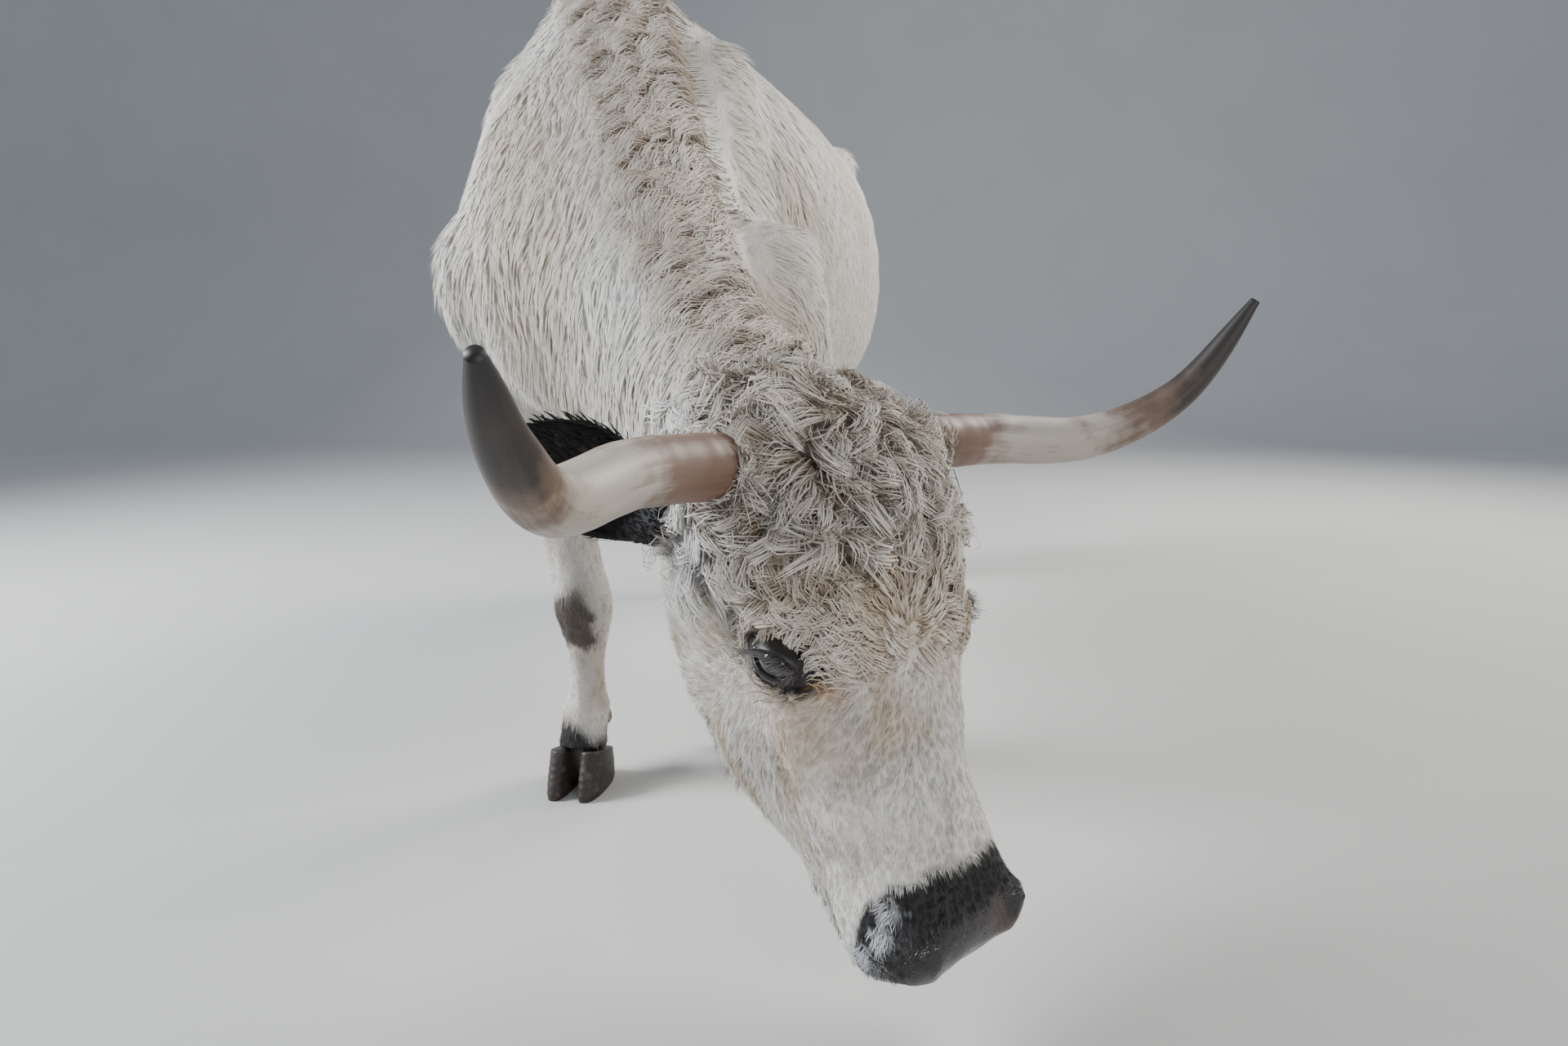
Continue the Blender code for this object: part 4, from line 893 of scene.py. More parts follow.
CURL_STEPS = 4
HORN_ROOT = [(0.020, 0.070, -0.035), (0.025, 0.125, -0.020), (0.027, 0.155, -0.014)]
HORN_CLEARANCE = 0.0365
spot = (ease(0.125, 0.075, mid_f) * ease(-0.085, -0.045, mid_f) * ease(-0.130, -0.085, mid_u)
        * (mid[:, 1] < -0.5))
root, normal = ground.roots(92000 * spot, seed=101)
chance = np.random.default_rng(102)
f, r, u = head_place(root)
mine = clumped(root, per=22, seed=103)
way = flat_on(FACE * (1.5 * (f - 0.005) + 0.035)[:, None] + RIGHT * (1.2 * r)[:, None], normal)
heading = (1.2 * bumps(root, 0.08, 104) + 0.30 * chance.normal(size=len(root)))[mine]
coil = (4.2 * bumps(root, 0.06, 105) + 0.5 * chance.normal(size=len(root)))[mine]
twist = (1.2 * bumps(root, 0.05, 107))[mine]
loose = chance.normal(0, 0.13, len(root))
steps = (np.arange(CURL_STEPS) + 0.5) / CURL_STEPS
bend = np.outer(coil, steps - 0.2) + np.outer(twist, np.sin(FULL_TURN * steps)) + (heading + loose)[:, None]
length = (0.062 + chance.normal(0, 0.011, len(root))[mine]) * varied(chance, root, 0.2)
tall = (0.008 + 0.014 * ease(-0.04, 0.03, f)) * varied(chance, root, 0.5)[mine] * varied(chance, root, 0.3)
height = 0.003 + tall[:, None] * np.sin(math.pi * (0.10 + 0.82 * steps))
path = drawn(walked(root, normal, way, length, bend, height), mine, pull=0.50, start=1.1)
white = ease(-0.050, -0.085, u)[:, None]
# Dark brown at the roots of the curls: painted shade in the hollows between them, over a little tan
shaded_brown_roots = np.outer(varied(chance, root, 0.3), (0.22, 0.155, 0.10)) * (1 - white) + 0.50 * white
pale = np.array((0.66, 0.62, 0.55)) * (1 - white) + np.array((0.80, 0.78, 0.74)) * white
pale = pale * (1 + 0.10 * chance.normal(size=len(root))[mine])[:, None]
# The curls part around the horns and lie over their roots
for side in SIDES.values():
    core = np.array([at_head(f_at, r_at * side, u_at) for f_at, r_at, u_at in HORN_ROOT])
    spots = path[:, 1:].reshape(-1, 3)
    away, _ = from_line(spots, core)
    size = np.linalg.norm(away, axis=1)
    push = np.clip(HORN_CLEARANCE - size, 0, None) * (size > 1e-4)
    path[:, 1:] = (spots + unit(away + 1e-9) * push[:, None]).reshape(len(path), -1, 3)
lay_coat("poll_curls", path, normal, width=0.0016, seed=106, base=shaded_brown_roots, tone=pale, ridge=0.40,
         shade=(0.9, 1.22), tone_spread=0.10, calm=0.2)

# Horns. Two hollow sheaths of horn on bony cores, out of the poll, out and up to a point:
# pinkish brown and ringed at the root, worn cream with fine cracks in the middle, and
# dark grey-brown towards the tip. They keep the line of the solids that they replace.

HORN_LINE = [
    (0.020, 0.070, -0.035), (0.025, 0.125, -0.020), (0.032, 0.221, -0.003),
    (0.060, 0.312, 0.049), (0.050, 0.370, 0.132), (0.011, 0.406, 0.216)]
HORN_LEAN = [
    (0.0, 0.0, 0.0), (0.0, 0.0, 0.0), (-0.0015, 0.0015, 0.0045),
    (-0.0025, 0.0, -0.0020), (-0.0010, 0.0, -0.0030), (0.0195, 0.0005, -0.0090)]
HORN_TAPER = [1.0, 1.0, 1.0, 0.98, 0.93, 0.86, 0.75, 0.62, 0.43, 0.17]
HORN_BASE_RADIUS = 0.0325
HORN_STEPS = 150
HORN_SIDES = 40


def spline(rows, t):
    # Smooth curve through a list of equal tuples, t from 0 to 1.
    rows = np.asarray(rows, float)
    spans = len(rows) - 1
    place = min(max(t, 0.0), 1.0) * spans
    i = min(int(place), spans - 1)
    q = place - i
    p0, p1, p2, p3 = (rows[min(max(k, 0), spans)] for k in (i - 1, i, i + 1, i + 2))
    lift = (2 * p0 - 5 * p1 + 4 * p2 - p3) * q * q
    bend = (3 * p1 - p0 - 3 * p2 + p3) * q * q * q
    return 0.5 * (2 * p1 + (p2 - p0) * q + lift + bend)


def loft(name, rings, close_ends=True):
    # Closed skin over rings of points, with a UV map that runs round and along it.
    rings = np.asarray(rings)
    rows, sides = rings.shape[:2]
    bm = bmesh.new()
    grid = [[bm.verts.new(q) for q in ring] for ring in rings]
    uv = bm.loops.layers.uv.new("Along")
    for k in range(rows - 1):
        for i in range(sides):
            j = (i + 1) % sides
            face = bm.faces.new((grid[k][i], grid[k][j], grid[k + 1][j], grid[k + 1][i]))
            spots = ((i, k), (i + 1, k), (i + 1, k + 1), (i, k + 1))
            for loop, (a, b) in zip(face.loops, spots):
                loop[uv].uv = (a / sides, b / (rows - 1))
    if close_ends:
        for ring, height in ((grid[0][::-1], 0.0), (grid[-1], 1.0)):
            for loop in bm.faces.new(ring).loops:
                loop[uv].uv = (0.5, height)
    bmesh.ops.recalc_face_normals(bm, faces=bm.faces)
    mesh = bpy.data.meshes.new(name)
    bm.to_mesh(mesh)
    bm.free()
    mesh.shade_smooth()
    return linked(name, mesh)


def horn_sheath(name, side):
    chance = np.random.default_rng(201 + side)
    wander = chance.uniform(0, FULL_TURN, 4)
    places = np.linspace(0, 1, HORN_STEPS + 1)
    line = np.array([spline(HORN_LINE, t) + spline(HORN_LEAN, t) * side for t in places])
    centres = [at_head(f, r * side, u) for f, r, u in line]
    turn = 2 * np.pi * np.arange(HORN_SIDES) / HORN_SIDES
    rings = []
    for k, t in enumerate(places):
        ahead = unit(centres[min(k + 1, HORN_STEPS)] - centres[max(k - 1, 0)])
        first = unit(FACE - ahead * FACE.dot(ahead))
        second = np.cross(ahead, first)
        size = HORN_BASE_RADIUS * float(spline([(v,) for v in HORN_TAPER], t)[0])
        ribs = 0.00035 * math.sin(2 * math.pi * (t * 33 + 0.5 * math.sin(t * 31))) * (1 - ease(0.25, 0.45, t))
        ribs = ribs + 0.00030 * math.sin(2 * math.pi * t * 11 + wander[0]) * (1 - ease(0.40, 0.62, t))
        flute = 0.010 * np.sin(3 * turn + wander[1] + 2 * t) + 0.006 * np.sin(7 * turn + wander[2])
        reach = size * (1 + flute * (1 - ease(0.8, 1.0, t))) + ribs
        around_it = np.outer(np.cos(turn), first) + np.outer(np.sin(turn), second)
        rings.append(centres[k] + around_it * reach[:, None])
    return loft(name, rings)


HORN_BANDS = [
    (0.00, (0.110, 0.062, 0.042)), (0.22, (0.155, 0.092, 0.064)), (0.36, (0.200, 0.135, 0.100)),
    (0.46, (0.420, 0.380, 0.330)), (0.60, (0.400, 0.360, 0.310)), (0.70, (0.150, 0.100, 0.070)),
    (0.82, (0.030, 0.022, 0.018)), (1.00, (0.011, 0.010, 0.010))]
worn_horn = Finish("worn_horn")
along_horn = worn_horn.add("UVMap", uv_map="Along").outputs["UV"]
streaks = worn_horn.noise((16.0, 3.0, 1.0), 5.0, along_horn, 0.6)
cloud = worn_horn.noise(26.0)
# The bands wander, and long cracks run only where the cloud is high
height = worn_horn.add("SeparateXYZ", {"Vector": along_horn}).outputs["Y"]
height = worn_horn.math("ADD", height, worn_horn.ramp(cloud, -0.13, 0.13))
height = worn_horn.math("ADD", height, worn_horn.ramp(streaks, -0.10, 0.10))
grain = worn_horn.noise((60.0, 9.0, 1.0), 4.0, along_horn, 0.7)
cracks = worn_horn.add("Mix", {0: worn_horn.ramp(cloud, 0.0, 1.0, 0.52, 0.60),
                               3: worn_horn.ramp(grain, 0.45, 1.0, 0.34, 0.42)}, data_type="FLOAT")
cracks.inputs[2].default_value = 1.0
worn = worn_horn.math("MULTIPLY", cracks.outputs[0], worn_horn.ramp(streaks, 0.72, 1.25))
worn_horn.shaded(worn_horn.bands(height, HORN_BANDS), worn)
worn_horn.give("Roughness", worn_horn.ramp(streaks, 0.42, 0.58))
worn_horn.bump(worn, strength=0.22, distance=0.0006)
for word, side in SIDES.items():
    finish_piece(horn_sheath("horn_sheath_" + word, side), worn_horn, "horn", "horn_" + word)

# Ears. Black leaf-shaped ears of skin and gristle behind the horns, furred outside with
# short black hair and fringed with long hair where they open; they replace their solids.

EAR_PROFILE = [
    (0.024, 0.022, 0.00), (0.032, 0.025, 0.00), (0.046, 0.028, 0.70), (0.058, 0.030, 1.00),
    (0.061, 0.028, 1.00), (0.054, 0.023, 1.00), (0.036, 0.016, 1.00), (0.008, 0.008, 1.00)]
EAR_LENGTH = 0.215
EAR_WALL = 0.0050
# Root, direction of the tip and of the opening, each along the face, outward and out of the brow
EAR_POSES = {
    "right": ((0.055, 0.114, -0.122), (-0.68, 0.70, -0.22), (0.35, 0.60, 0.70)),
    "left": ((0.055, 0.105, -0.128), (0.15, 0.62, -0.77), (0.60, 0.65, 0.40)),
}
EAR_ARC = 22
EAR_STEPS = 36
SKIN_SHARE = 0.94
TIP_BEND = 0.02
BLACK_HAIR = (0.0070, 0.0065, 0.0075)


def ear_frame(word):
    side = SIDES[word]
    (f, r, u), *ways = EAR_POSES[word]
    axis, front = (FACE * way[0] + RIGHT * (way[1] * side) + BROW * way[2] for way in ways)
    axis = unit(axis)
    front = unit(front - axis * front.dot(axis))
    return at_head(f, r * side, u), axis, front, np.cross(axis, front)


def ear_leaf(word):
    place, axis, front, across = ear_frame(word)
    rings = []
    for k in range(EAR_STEPS + 1):
        t = k / EAR_STEPS
        width, depth, cup = spline(EAR_PROFILE, t)
        width, depth = width * SKIN_SHARE, depth * SKIN_SHARE
        centre = place + axis * (EAR_LENGTH * 0.98 * t) - front * (TIP_BEND * t * t)
        phi = np.pi * (np.arange(EAR_ARC + 1) / EAR_ARC - 0.5)
        outer = centre + np.outer(width * np.sin(phi), across) - np.outer(depth * np.cos(phi), front)
        phi = np.pi * (0.5 - np.arange(1, EAR_ARC) / EAR_ARC)
        inner_reach = depth * np.cos(phi) * (1 - cup) - (depth - EAR_WALL) * np.cos(phi) * cup
        inner_width = width * np.sin(phi) * (1 - 0.08 * cup)
        inner = centre + np.outer(inner_width, across) + np.outer(inner_reach, front)
        rings.append(np.concatenate((outer, inner)))
    return loft("ear_leaf_" + word, rings)


ear_skin = Finish("ear_skin")
pores = ear_skin.noise(300.0)
ear_skin.give("Base Color", ear_skin.blend(pores, (0.005, 0.0045, 0.005), (0.016, 0.014, 0.014)))
ear_skin.give("Roughness", 0.6)
ear_skin.bump(pores, strength=0.4, distance=0.0008)
for word in EAR_POSES:
    leaf = ear_leaf(word)
    finish_piece(leaf, ear_skin, "black_coat", "ear_" + word)
    place, axis, front, across = ear_frame(word)
    plot = Ground(leaf.data)
    root, normal = plot.roots(np.full(len(plot.area), 52000.0), seed=211)
    chance = np.random.default_rng(212)
    reach = (root - place) @ axis / EAR_LENGTH
    inside = (normal @ front > 0.15) & (reach > 0.25)
    sideways = ((root - place) @ across)[:, None] * across * 4.0
    way = flat_on(axis + sideways * ease(0.5, 1.0, reach)[:, None], normal)
    way = turned(way, normal, 0.18 * chance.normal(size=len(root)))
    length = (0.010 + 0.008 * inside) * chance.uniform(0.7, 1.25, len(root))
    length *= 1 - 0.35 * ease(0.85, 1.0, reach)
    path = lock_paths(root, normal, way, length, depth=0.0020 + 0.004 * inside, rings=2)
    path = drawn(path, clumped(root, per=6, seed=213), pull=0.45)
    fur = locks("ear_hair_" + word, path, normal, 0.0021, 214, tone=np.array([BLACK_HAIR]), tone_spread=0.25,
                shade=(0.8, 1.5), calm=0.3)
    finish_piece(fur, hair, "black_coat")

# Eyes. Large dark wet eyeballs, with a clear bulging front over a wide brown iris and a
# long level pupil. They replace their solids and sit as deep as those do.

EYE_RADIUS = 0.0225
EYE_TURNS = 56
EYE_RINGS = 36
CORNEA_RISE = 0.0016
IRIS_RADIUS = 0.0150
PUPIL = (0.0085, 0.0042)


def eyeball(name, side):
    centre, along, rise, out = eye_frame(side)
    turn = 2 * np.pi * np.arange(EYE_TURNS) / EYE_TURNS
    rings = []
    for k in range(EYE_RINGS + 1):
        polar = math.pi * (0.004 + 0.992 * k / EYE_RINGS)
        reach = EYE_RADIUS + CORNEA_RISE * ease(0.80, 0.30, polar)
        round_it = np.outer(np.cos(turn), along) + np.outer(np.sin(turn), rise)
        rings.append(centre + out * (reach * math.cos(polar)) + round_it * (reach * math.sin(polar)))
    made = loft(name, rings)
    co = points_of(made.data) - centre
    a, b, front = co @ along, co @ rise, co @ out > 0
    iris = np.hypot(a, b) / IRIS_RADIUS
    pupil = apart((a, PUPIL[0]), (b, PUPIL[1]))
    colour = np.tile((0.05, 0.035, 0.03), (len(co), 1))
    for chosen, tint in ((iris < 1.08, (0.006, 0.004, 0.003)), (iris < 1.0, (0.014, 0.007, 0.0045)),
                         (pupil < 1.0, (0.0015, 0.0015, 0.0025))):
        colour[chosen & front] = tint
    store(made.data, "paint", colour)
    return made


wet_eye = Finish("wet_eye")
wet_eye.shaded(wet_eye.attribute("paint", "Color"), wet_eye.ramp(wet_eye.noise(420.0), 0.6, 1.4))
wet_eye.give("Roughness", 0.12)
wet_eye.give("Coat Weight", 1.0)
wet_eye.give("Coat Roughness", 0.02)
for word, side in SIDES.items():
    finish_piece(eyeball("eyeball_" + word, side), wet_eye, "eye", "eye_" + word)

# Eyelids. Two rolls of soft black skin close on the eyeball in a slanting almond and run
# out into the face; the upper one is thicker and hangs over the ball.

LID_OPENING = (0.0225, 0.0098)
LID_TURNS = 64
LID_LIFT = 0.0014
# How far each ring spreads beyond the opening, and its height over the ball
LID_ROLL = [(0.0, -0.0035), (0.0, 0.0012), (0.0014, 0.0034), (0.0040, 0.0044), (0.0075, 0.0040)]
# The last rings lie on the skin and then in it: spread, and depth in the skin
LID_EDGE = [(0.0135, -0.0012), (0.0185, 0.0045)]


def lid_rings(side):
    centre, along, rise, out = eye_frame(side)
    up = rise * side
    turn = 2 * np.pi * np.arange(LID_TURNS) / LID_TURNS
    upper = ease(-0.1, 0.5, np.sin(turn))
    rings = []
    for spread, height in LID_ROLL:
        a = (LID_OPENING[0] + spread * 1.3) * np.cos(turn)
        b = (LID_OPENING[1] + spread) * np.sign(np.sin(turn)) * np.abs(np.sin(turn)) ** 1.25 - 0.0015 * upper
        level = np.sqrt(np.clip((EYE_RADIUS + height + LID_LIFT * upper) ** 2 - a * a - b * b, 1e-6, None))
        rings.append(centre + np.outer(a, along) + np.outer(b, up) + np.outer(level, out))
    for spread, sink in LID_EDGE:
        ring = []
        for angle in turn:
            a = (LID_OPENING[0] + spread * 1.25) * math.cos(angle)
            b = (LID_OPENING[1] + spread * 0.85) * math.sin(angle)
            over = centre + along * a + up * b + out * 0.06
            hit, facing, _, _ = skin_tree.ray_cast(Vector(over), Vector(-out), 0.11)
            ring.append(np.array(hit) - np.array(facing) * sink)
        rings.append(np.array(ring))
    return rings


eyelid_skin = Finish("eyelid_skin")
folds = eyelid_skin.noise(160.0, 5.0)
eyelid_skin.give("Base Color", eyelid_skin.blend(folds, (0.003, 0.003, 0.003), (0.014, 0.012, 0.012)))
eyelid_skin.give("Roughness", eyelid_skin.ramp(folds, 0.30, 0.60))
eyelid_skin.bump(folds, strength=0.6, distance=0.0015)
lash_lines = {}
for word, side in SIDES.items():
    rings = lid_rings(side)
    lash_lines[word] = rings[2]
    centre = eye_frame(side)[0]
    under = [centre + (rings[-1] - centre) * 0.80, centre + (rings[0] - centre) * 0.90]
    lid = loft("eyelid_" + word, rings + under, close_ends=False)
    bm = bmesh.new()
    bm.from_mesh(lid.data)
    bmesh.ops.bridge_loops(bm, edges=[edge for edge in bm.edges if edge.is_boundary])
    bmesh.ops.recalc_face_normals(bm, faces=bm.faces)
    bm.to_mesh(lid.data)
    bm.free()
    lid.data.shade_smooth()
    smooth = lid.modifiers.new("round", "SUBSURF")
    smooth.levels = smooth.render_levels = 1
    settle(lid)
    finish_piece(lid, eyelid_skin, "black_coat")

# Lashes. Long hairs stand out of the edge of each upper lid and droop over the eye, dark
# at the root and bleached at the tip, with a short row below.

LASH_THICKNESS = 0.012
LASH_DROOP = 0.16
LASHES = 170
UPPER_LASHES = 130
LASH_BANDS = [(0.15, (0.03, 0.025, 0.022)), (0.85, (0.19, 0.185, 0.18))]


def lash_tree():
    # Bent tapering tubes on points, each of which holds its aim, hang and size.
    tree = bpy.data.node_groups.new("lashes", "GeometryNodeTree")
    for name, way, kind in (("Geometry", "INPUT", "Geometry"), ("Thickness", "INPUT", "Float"),
                            ("Droop", "INPUT", "Float"), ("Material", "INPUT", "Material"),
                            ("Geometry", "OUTPUT", "Geometry")):
        tree.interface.new_socket(name, in_out=way, socket_type="NodeSocket" + kind)

    def node(kind, output, links=None, **values):
        return add_node(tree, kind, links, **values).outputs[output]

    def held(name, kind):
        return node("GeometryNodeInputNamedAttribute", "Attribute", data_type=kind, Name=name)

    given = add_node(tree, "NodeGroupInput").outputs
    middle = node("ShaderNodeCombineXYZ", "Vector", {"X": given["Droop"]}, Z=0.55)
    line = node("GeometryNodeCurveQuadraticBezier", "Curve", {"Middle": middle}, Resolution=6,
                Start=(0, 0, -0.06), End=(0, 0, 1.0))
    along = node("GeometryNodeSplineParameter", "Factor")
    line = node("GeometryNodeStoreNamedAttribute", "Geometry", {"Geometry": line, "Value": along},
                data_type="FLOAT", domain="POINT", Name="along")
    thin = node("ShaderNodeMapRange", "Result", {"Value": along}, To_Min=1.0, To_Max=0.12)
    line = node("GeometryNodeSetCurveRadius", "Curve", {"Curve": line, "Radius": thin})
    ring = node("GeometryNodeCurvePrimitiveCircle", "Curve", {"Radius": given["Thickness"]}, Resolution=5)
    tube = node("GeometryNodeCurveToMesh", "Mesh", {"Curve": line, "Profile Curve": ring}, Fill_Caps=True)
    upright = node("FunctionNodeAlignRotationToVector", "Rotation", {"Vector": held("aim", "FLOAT_VECTOR")},
                   axis="Z")
    swung = node("FunctionNodeAlignRotationToVector", "Rotation",
                 {"Rotation": upright, "Vector": held("hang", "FLOAT_VECTOR")}, axis="X", pivot_axis="Z")
    placed = node("GeometryNodeInstanceOnPoints", "Instances",
                  {"Points": given["Geometry"], "Instance": tube, "Rotation": swung,
                   "Scale": held("size", "FLOAT")})
    real = node("GeometryNodeRealizeInstances", "Geometry", {"Geometry": placed})
    painted = node("GeometryNodeSetMaterial", "Geometry", {"Geometry": real, "Material": given["Material"]})
    add_node(tree, "NodeGroupOutput", {"Geometry": painted})
    return tree


def grown_lashes(name, rows, tree, finish):
    # Lashes from rows of root, aim, hang and length.
    roots, aims, hangs, sizes = zip(*rows)
    mesh = bpy.data.meshes.new(name)
    mesh.from_pydata(roots, [], [])
    for label, values in (("aim", aims), ("hang", hangs)):
        layer = mesh.attributes.new(label, "FLOAT_VECTOR", "POINT")
        layer.data.foreach_set("vector", np.asarray(values, np.float32).ravel())
    store(mesh, "size", sizes, "FLOAT")
    made = linked(name, mesh)
    modifier = made.modifiers.new("hairs", "NODES")
    modifier.node_group = tree
    values = {"Thickness": LASH_THICKNESS, "Droop": LASH_DROOP, "Material": finish.made}
    for item in tree.interface.items_tree:
        if item.in_out == "INPUT" and item.name in values:
            modifier[item.identifier] = values[item.name]
    settle(made)
    made.data.shade_smooth()
    return made


lash_hair = Finish("lash_hair")
bleached = lash_hair.bands(lash_hair.attribute("along"), LASH_BANDS)
lash_hair.shaded(bleached, lash_hair.ramp(lash_hair.noise(900.0, 2.0), 0.7, 1.3))
lash_hair.give("Roughness", 0.4)
bent_hairs = lash_tree()
for word, side in SIDES.items():
    _, along, rise, out = eye_frame(side)
    up = rise * side
    edge = lash_lines[word]
    chance = np.random.default_rng(231)
    rows = []
    for k in range(LASHES):
        above = k < UPPER_LASHES
        way = 1 if above else -1
        turn = chance.uniform(0.05, 0.97) * math.pi * way
        place = turn / (2 * math.pi) % 1 * LID_TURNS
        i = int(place)
        spot = edge[i] + (edge[(i + 1) % LID_TURNS] - edge[i]) * (place - i)
        spot = spot + out * chance.uniform(-0.0005, 0.0012) + up * chance.uniform(0, 0.0022) * way
        fan = along * (0.375 * math.cos(turn) - 0.475)
        lean = chance.normal(0, 0.12, 3)
        aim = unit(out * 0.45 - up * (0.45 if above else 0.7) + fan + lean)
        length = chance.uniform(0.011, 0.019) if above else chance.uniform(0.005, 0.009)
        rows.append((spot, aim, -up * way, length))
    finish_piece(grown_lashes("lashes_" + word, rows, bent_hairs, lash_hair), lash_hair, "white_coat")

# Muzzle and chin hair. Fine white hairs fan down over the black beside the nostrils, and
# tufts of longer hair hang at the corners of the lips and under the chin.

NOSTRIL_TUFTS = [(0.420, -0.045, 0.011), (0.440, -0.062, 0.010), (0.456, -0.086, 0.012)]
chance = np.random.default_rng(261)
tufted = np.zeros(len(mid))
for spot_f, spot_u, size in NOSTRIL_TUFTS:
    far = apart((mid_f - spot_f, size), (np.abs(mid_r) - 0.078, size), (mid_u - spot_u, size))
    tufted = np.maximum(tufted, ease(1.2, 0.6, far))
root, normal = ground.roots(300000 * tufted * mid_head, seed=262)
fan = chance.normal(0, 0.30, len(root)) + 0.6 * bumps(root, 0.02, 263)
way = turned(flat_on(FACE * 0.55 - BROW * 0.80 + np.zeros_like(root), normal), normal, fan)
length = chance.uniform(0.009, 0.017, len(root))
path = lock_paths(root, normal, way, length, depth=0.0020, rings=2)
white_hairs = locks("muzzle_hair", path, normal, 0.0008, 264, tone=np.array([(0.66, 0.68, 0.72)]),
                    tone_spread=0.12, shade=(0.55, 1.15), calm=0.3)
finish_piece(white_hairs, hair, "white_coat")
chin = ease(0.375, 0.395, mid_f) * ease(0.480, 0.455, mid_f) * ease(-0.135, -0.150, mid_u) * mid_head
root, normal = ground.roots(60000 * chin, seed=265)
way = flat_on(FACE * 0.8 - BROW * 0.5 + 0.25 * chance.normal(size=(len(root), 3)), normal)
length = chance.uniform(0.016, 0.028, len(root))
path = lock_paths(root, normal, way, length, depth=0.009, rings=3)
path = drawn(path, clumped(root, per=12, seed=266), pull=0.6)
chin_hairs = locks("chin_hair", path, normal, 0.0013, 267,
                   tone=np.array([(0.74, 0.72, 0.67)]), tone_spread=0.10, shade=(0.6, 1.1), calm=0.3)
finish_piece(chin_hairs, hair, "white_coat")

# Hooves. Two claws of dark horn on each foot, ringed by their growth and scuffed by the
# ground, with a pair of dewclaws behind. The claws replace their solids; the dewclaws keep
# them and take the same horn.

FEET = {
    "foreleg_right": (-0.130, -0.078), "foreleg_left": (0.130, 0.082),
    "hindleg_right": (-0.150, 1.198), "hindleg_left": (0.150, 1.278),
}
# Height, and there the share of the width, the reach to the toe and the reach to the heel
CLAW_WALL = [(0.000, 1.00, 0.074, 0.048), (0.030, 0.98, 0.063, 0.051), (0.085, 0.86, 0.037, 0.046)]
CLAW_WIDTH = 0.047
CLAW_OFFSET = 0.025
CLEFT_SHARE = 0.80
CORONET_HEIGHT = 0.062
CORONET_SLOPE = 0.30
CLAW_SIDES = 56
CLAW_LEVELS = 26
SOLE_BEVEL = 0.05


def claw(name, x, y, out):
    heights, *shape = zip(*CLAW_WALL)
    rings = []
    for share in np.arange(CLAW_LEVELS + 1) / CLAW_LEVELS:
        ring = []
        for turn in 2 * math.pi * np.arange(CLAW_SIDES) / CLAW_SIDES:
            across, ahead = math.sin(turn), -math.cos(turn)
            height = share * CORONET_HEIGHT
            for _ in range(3):
                spread, toe, heel = (np.interp(height, heights, column) for column in shape)
                py = math.copysign(abs(ahead) ** 0.9, ahead) * (toe if ahead < 0 else heel)
                height = share * (CORONET_HEIGHT - CORONET_SLOPE * py - 0.0005)
            half = CLAW_WIDTH / 2 * spread * (1.0 if across * out >= 0 else CLEFT_SHARE)
            ripple = 0.012 * math.sin(share * 40) * share * (1 - share) * 4
            rib = 1 - ripple - SOLE_BEVEL * max(0.0, 0.12 - share) / 0.12
            px = out * CLAW_OFFSET + math.copysign(abs(across) ** 0.85, across) * half * rib
            ring.append((x + px, y + py * rib, height))
        rings.append(ring)
    return loft(name, np.array(rings) + WITHERS)


hoof_horn = Finish("hoof_horn")
growth = hoof_horn.noise((22.0, 22.0, 260.0))
scuff = hoof_horn.noise(60.0, 5.0)
grown = hoof_horn.blend(growth, (0.010, 0.008, 0.0075), (0.050, 0.038, 0.030))
dusty = hoof_horn.blend(hoof_horn.ramp(scuff, 0.0, 0.6, 0.55, 0.75), grown, (0.16, 0.13, 0.10))
hoof_horn.give("Base Color", dusty)
hoof_horn.give("Roughness", hoof_horn.ramp(scuff, 0.38, 0.72))
hoof_horn.bump(growth, strength=0.5, distance=0.0012)
for leg, (foot_x, foot_y) in FEET.items():
    for word, out in (("outer", math.copysign(1, foot_x)), ("inner", -math.copysign(1, foot_x))):
        made = claw(f"claw_{leg}_{word}", foot_x, foot_y, out)
        finish_piece(made, hoof_horn, "hoof", f"hoof_{leg}_{word}")
        nodes[f"dewclaw_{leg}_{word}"].material_slots[0].material = hoof_horn.made

# Switch. Long wavy hair hangs from the last third of the tail in a loose tassel, cream
# with earth-stained ends; it replaces its solid.

SWITCH_PLACE = WITHERS + np.array((0.020, 1.500, 0.0))
SWITCH_STRANDS = 900
SWITCH_RINGS = 7
SWITCH_TOP = 0.700
SWITCH_FOOT = 0.315
SWITCH_CLUMP = 0.52
chance = np.random.default_rng(241)
start = np.sort(chance.uniform(0, 1, SWITCH_STRANDS)) ** 0.8
turn = chance.uniform(0, 2 * np.pi, SWITCH_STRANDS)
side = np.stack((np.cos(turn), np.sin(turn), np.zeros(SWITCH_STRANDS)), 1)
clump = np.round(turn / SWITCH_CLUMP) * SWITCH_CLUMP
clump_side = np.stack((np.cos(clump), np.sin(clump), np.zeros(SWITCH_STRANDS)), 1)
top = SWITCH_TOP - 0.16 * start
foot = SWITCH_FOOT + 0.11 * (1 - start) + 0.035 * chance.uniform(0, 1, SWITCH_STRANDS)
sway = 0.010 * np.sin(clump * 3)
path = np.empty((SWITCH_STRANDS, SWITCH_RINGS + 1, 3))
for k in range(SWITCH_RINGS + 1):
    t = k / SWITCH_RINGS
    reach = 0.010 + 0.022 * math.sin(math.pi * min(1.0, 0.15 + 0.85 * t)) * chance.uniform(0.75, 1.0)
    blend = t ** 1.3
    out = side * (1 - blend) + clump_side * blend
    wave = 0.006 * t * np.sin(9.0 * t + clump * 5)
    path[:, k] = SWITCH_PLACE + out * reach + np.cross(side, (0, 0, 1.0)) * wave[:, None]
    path[:, k, 0] += sway * t * t
    path[:, k, 2] = top + (foot - top) * t
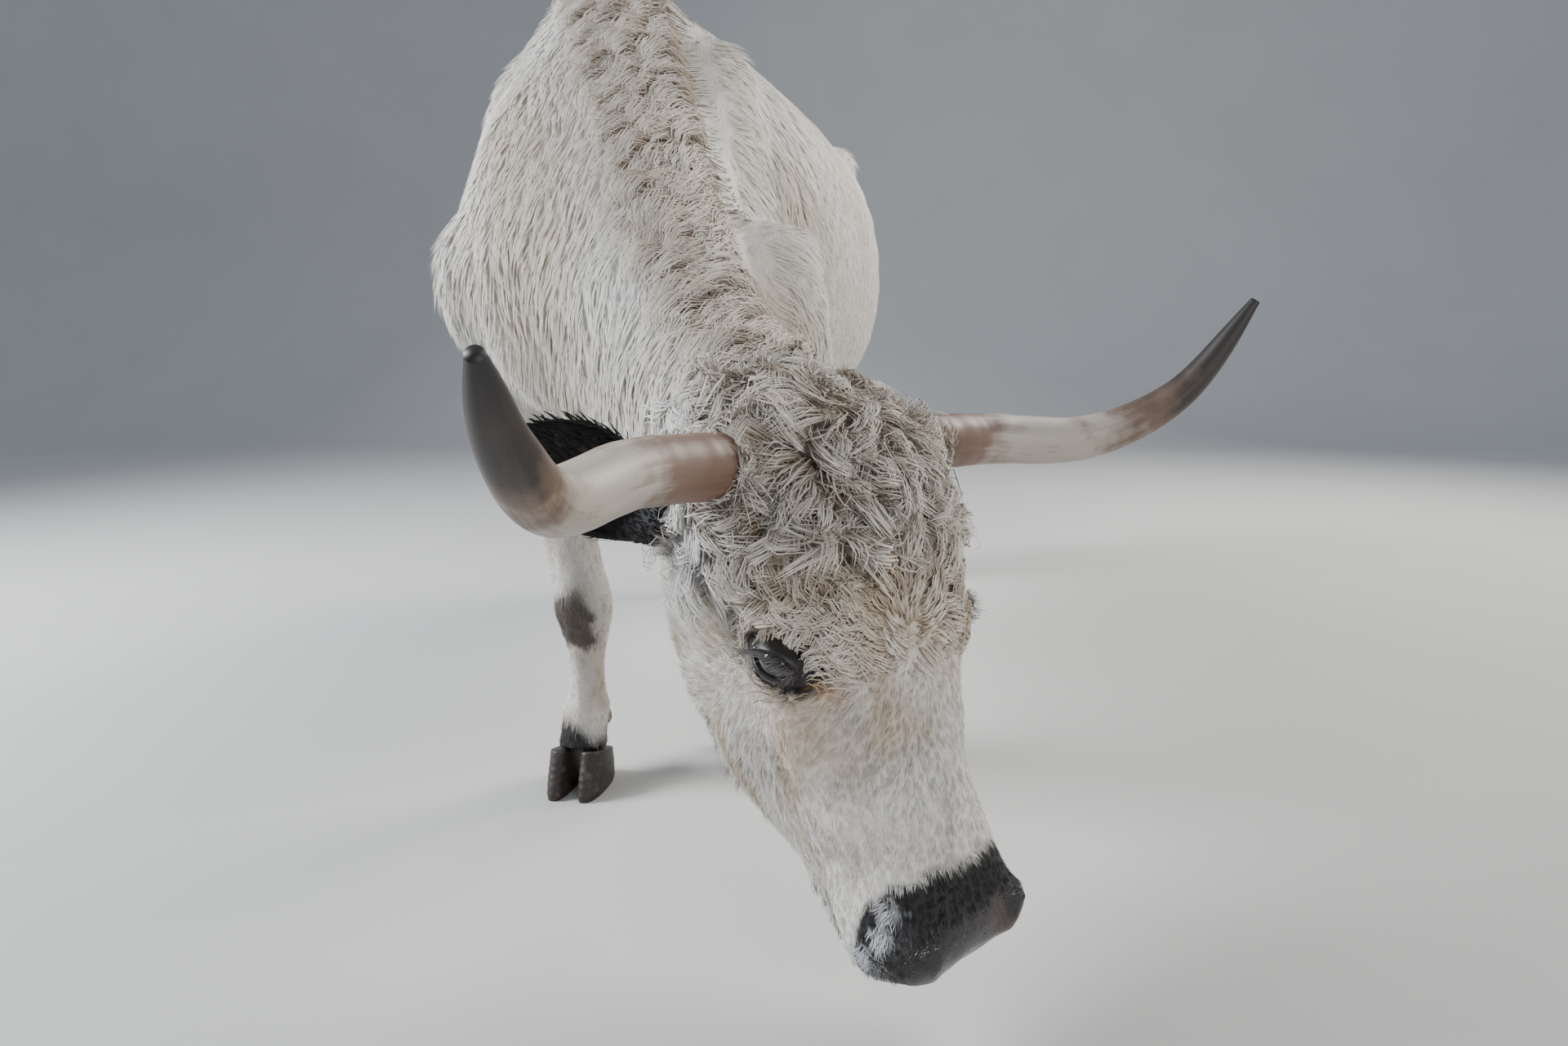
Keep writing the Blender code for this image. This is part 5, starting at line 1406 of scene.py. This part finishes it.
tassel = locks("switch_hair", path, side, 0.0024, 242, ridge=0.4, tone=np.array([(0.70, 0.62, 0.50)]),
               shade=(1.05, 0.70), tone_spread=0.10, calm=0.1)
finish_piece(tassel, hair, "white_coat", "tail_switch")

# Stage. A plain pale floor that curves up into a backdrop, soft light from the sky side,
# and a wide camera held low and close in front of the head, as in the photo.

FLOOR_WIDE, FLOOR_FRONT, FLOOR_BACK = 14.0, -9.0, 6.0
SWEEP = 3.0
BACKDROP_TOP = 9.0
LENS, FILM = 20, 36
CAMERA_PLACE = (0.429, -1.391, 0.689)
CAMERA_AHEAD = (-0.1536, 0.9726, -0.1746)
CAMERA_UP = (-0.0127, 0.1748, 0.9845)


def sweep_floor():
    bm = bmesh.new()
    profile = [(FLOOR_FRONT, 0.0), (FLOOR_BACK, 0.0)]
    for angle in np.linspace(0.15, math.pi / 2, 10):
        profile.append((FLOOR_BACK + SWEEP * math.sin(angle), SWEEP * (1 - math.cos(angle))))
    profile.append((FLOOR_BACK + SWEEP, BACKDROP_TOP))
    rows = [[bm.verts.new((x, y, z)) for y, z in profile] for x in (-FLOOR_WIDE, FLOOR_WIDE)]
    for k in range(len(profile) - 1):
        bm.faces.new((rows[0][k], rows[1][k], rows[1][k + 1], rows[0][k + 1]))
    made = bpy.data.meshes.new("floor")
    bm.to_mesh(made)
    bm.free()
    made.shade_smooth()
    return made


floor = linked("floor", sweep_floor())
pale_floor = Finish("pale_floor")
mottle = pale_floor.noise(1.3, 4.0)
pale_floor.give("Base Color", pale_floor.blend(mottle, (0.50, 0.50, 0.49), (0.56, 0.56, 0.55)))
pale_floor.give("Roughness", 0.8)
floor.data.materials.append(pale_floor.made)

sky = bpy.data.worlds.new("sky")
bpy.context.scene.world = sky
sky.use_nodes = True
sky_light = sky.node_tree.nodes["Background"]
sky_light.inputs["Color"].default_value = (0.72, 0.80, 0.95, 1)
sky_light.inputs["Strength"].default_value = 0.50


def lamp(name, place, aim, width, power, colour):
    data = bpy.data.lights.new(name, "AREA")
    data.shape = "DISK"
    data.size = width
    data.energy = power
    data.color = colour
    made = linked(name, data)
    made.location = place
    made.rotation_euler = (Vector(place) - Vector(aim)).to_track_quat("Z", "Y").to_euler()


lamp("key", (-4.4, -0.9, 3.0), (0.0, -0.6, 0.6), 1.8, 430, (0.96, 0.98, 1.0))
lamp("fill", (3.2, -3.6, 1.6), (0.1, -0.6, 0.6), 3.0, 90, (1.0, 0.93, 0.85))
lamp("rim", (3.0, 2.5, 3.6), (0.0, 0.0, 0.8), 2.0, 260, (1.0, 0.95, 0.88))

camera = linked("camera", bpy.data.cameras.new("camera"))
bpy.context.scene.camera = camera
camera.data.lens = LENS
camera.data.sensor_width = FILM
ahead = Vector(CAMERA_AHEAD).normalized()
upward = Vector(CAMERA_UP)
upward = (upward - ahead * upward.dot(ahead)).normalized()
turn = Matrix((ahead.cross(upward), upward, -ahead)).transposed().to_4x4()
camera.matrix_world = Matrix.Translation(Vector(CAMERA_PLACE) + Vector(WITHERS)) @ turn
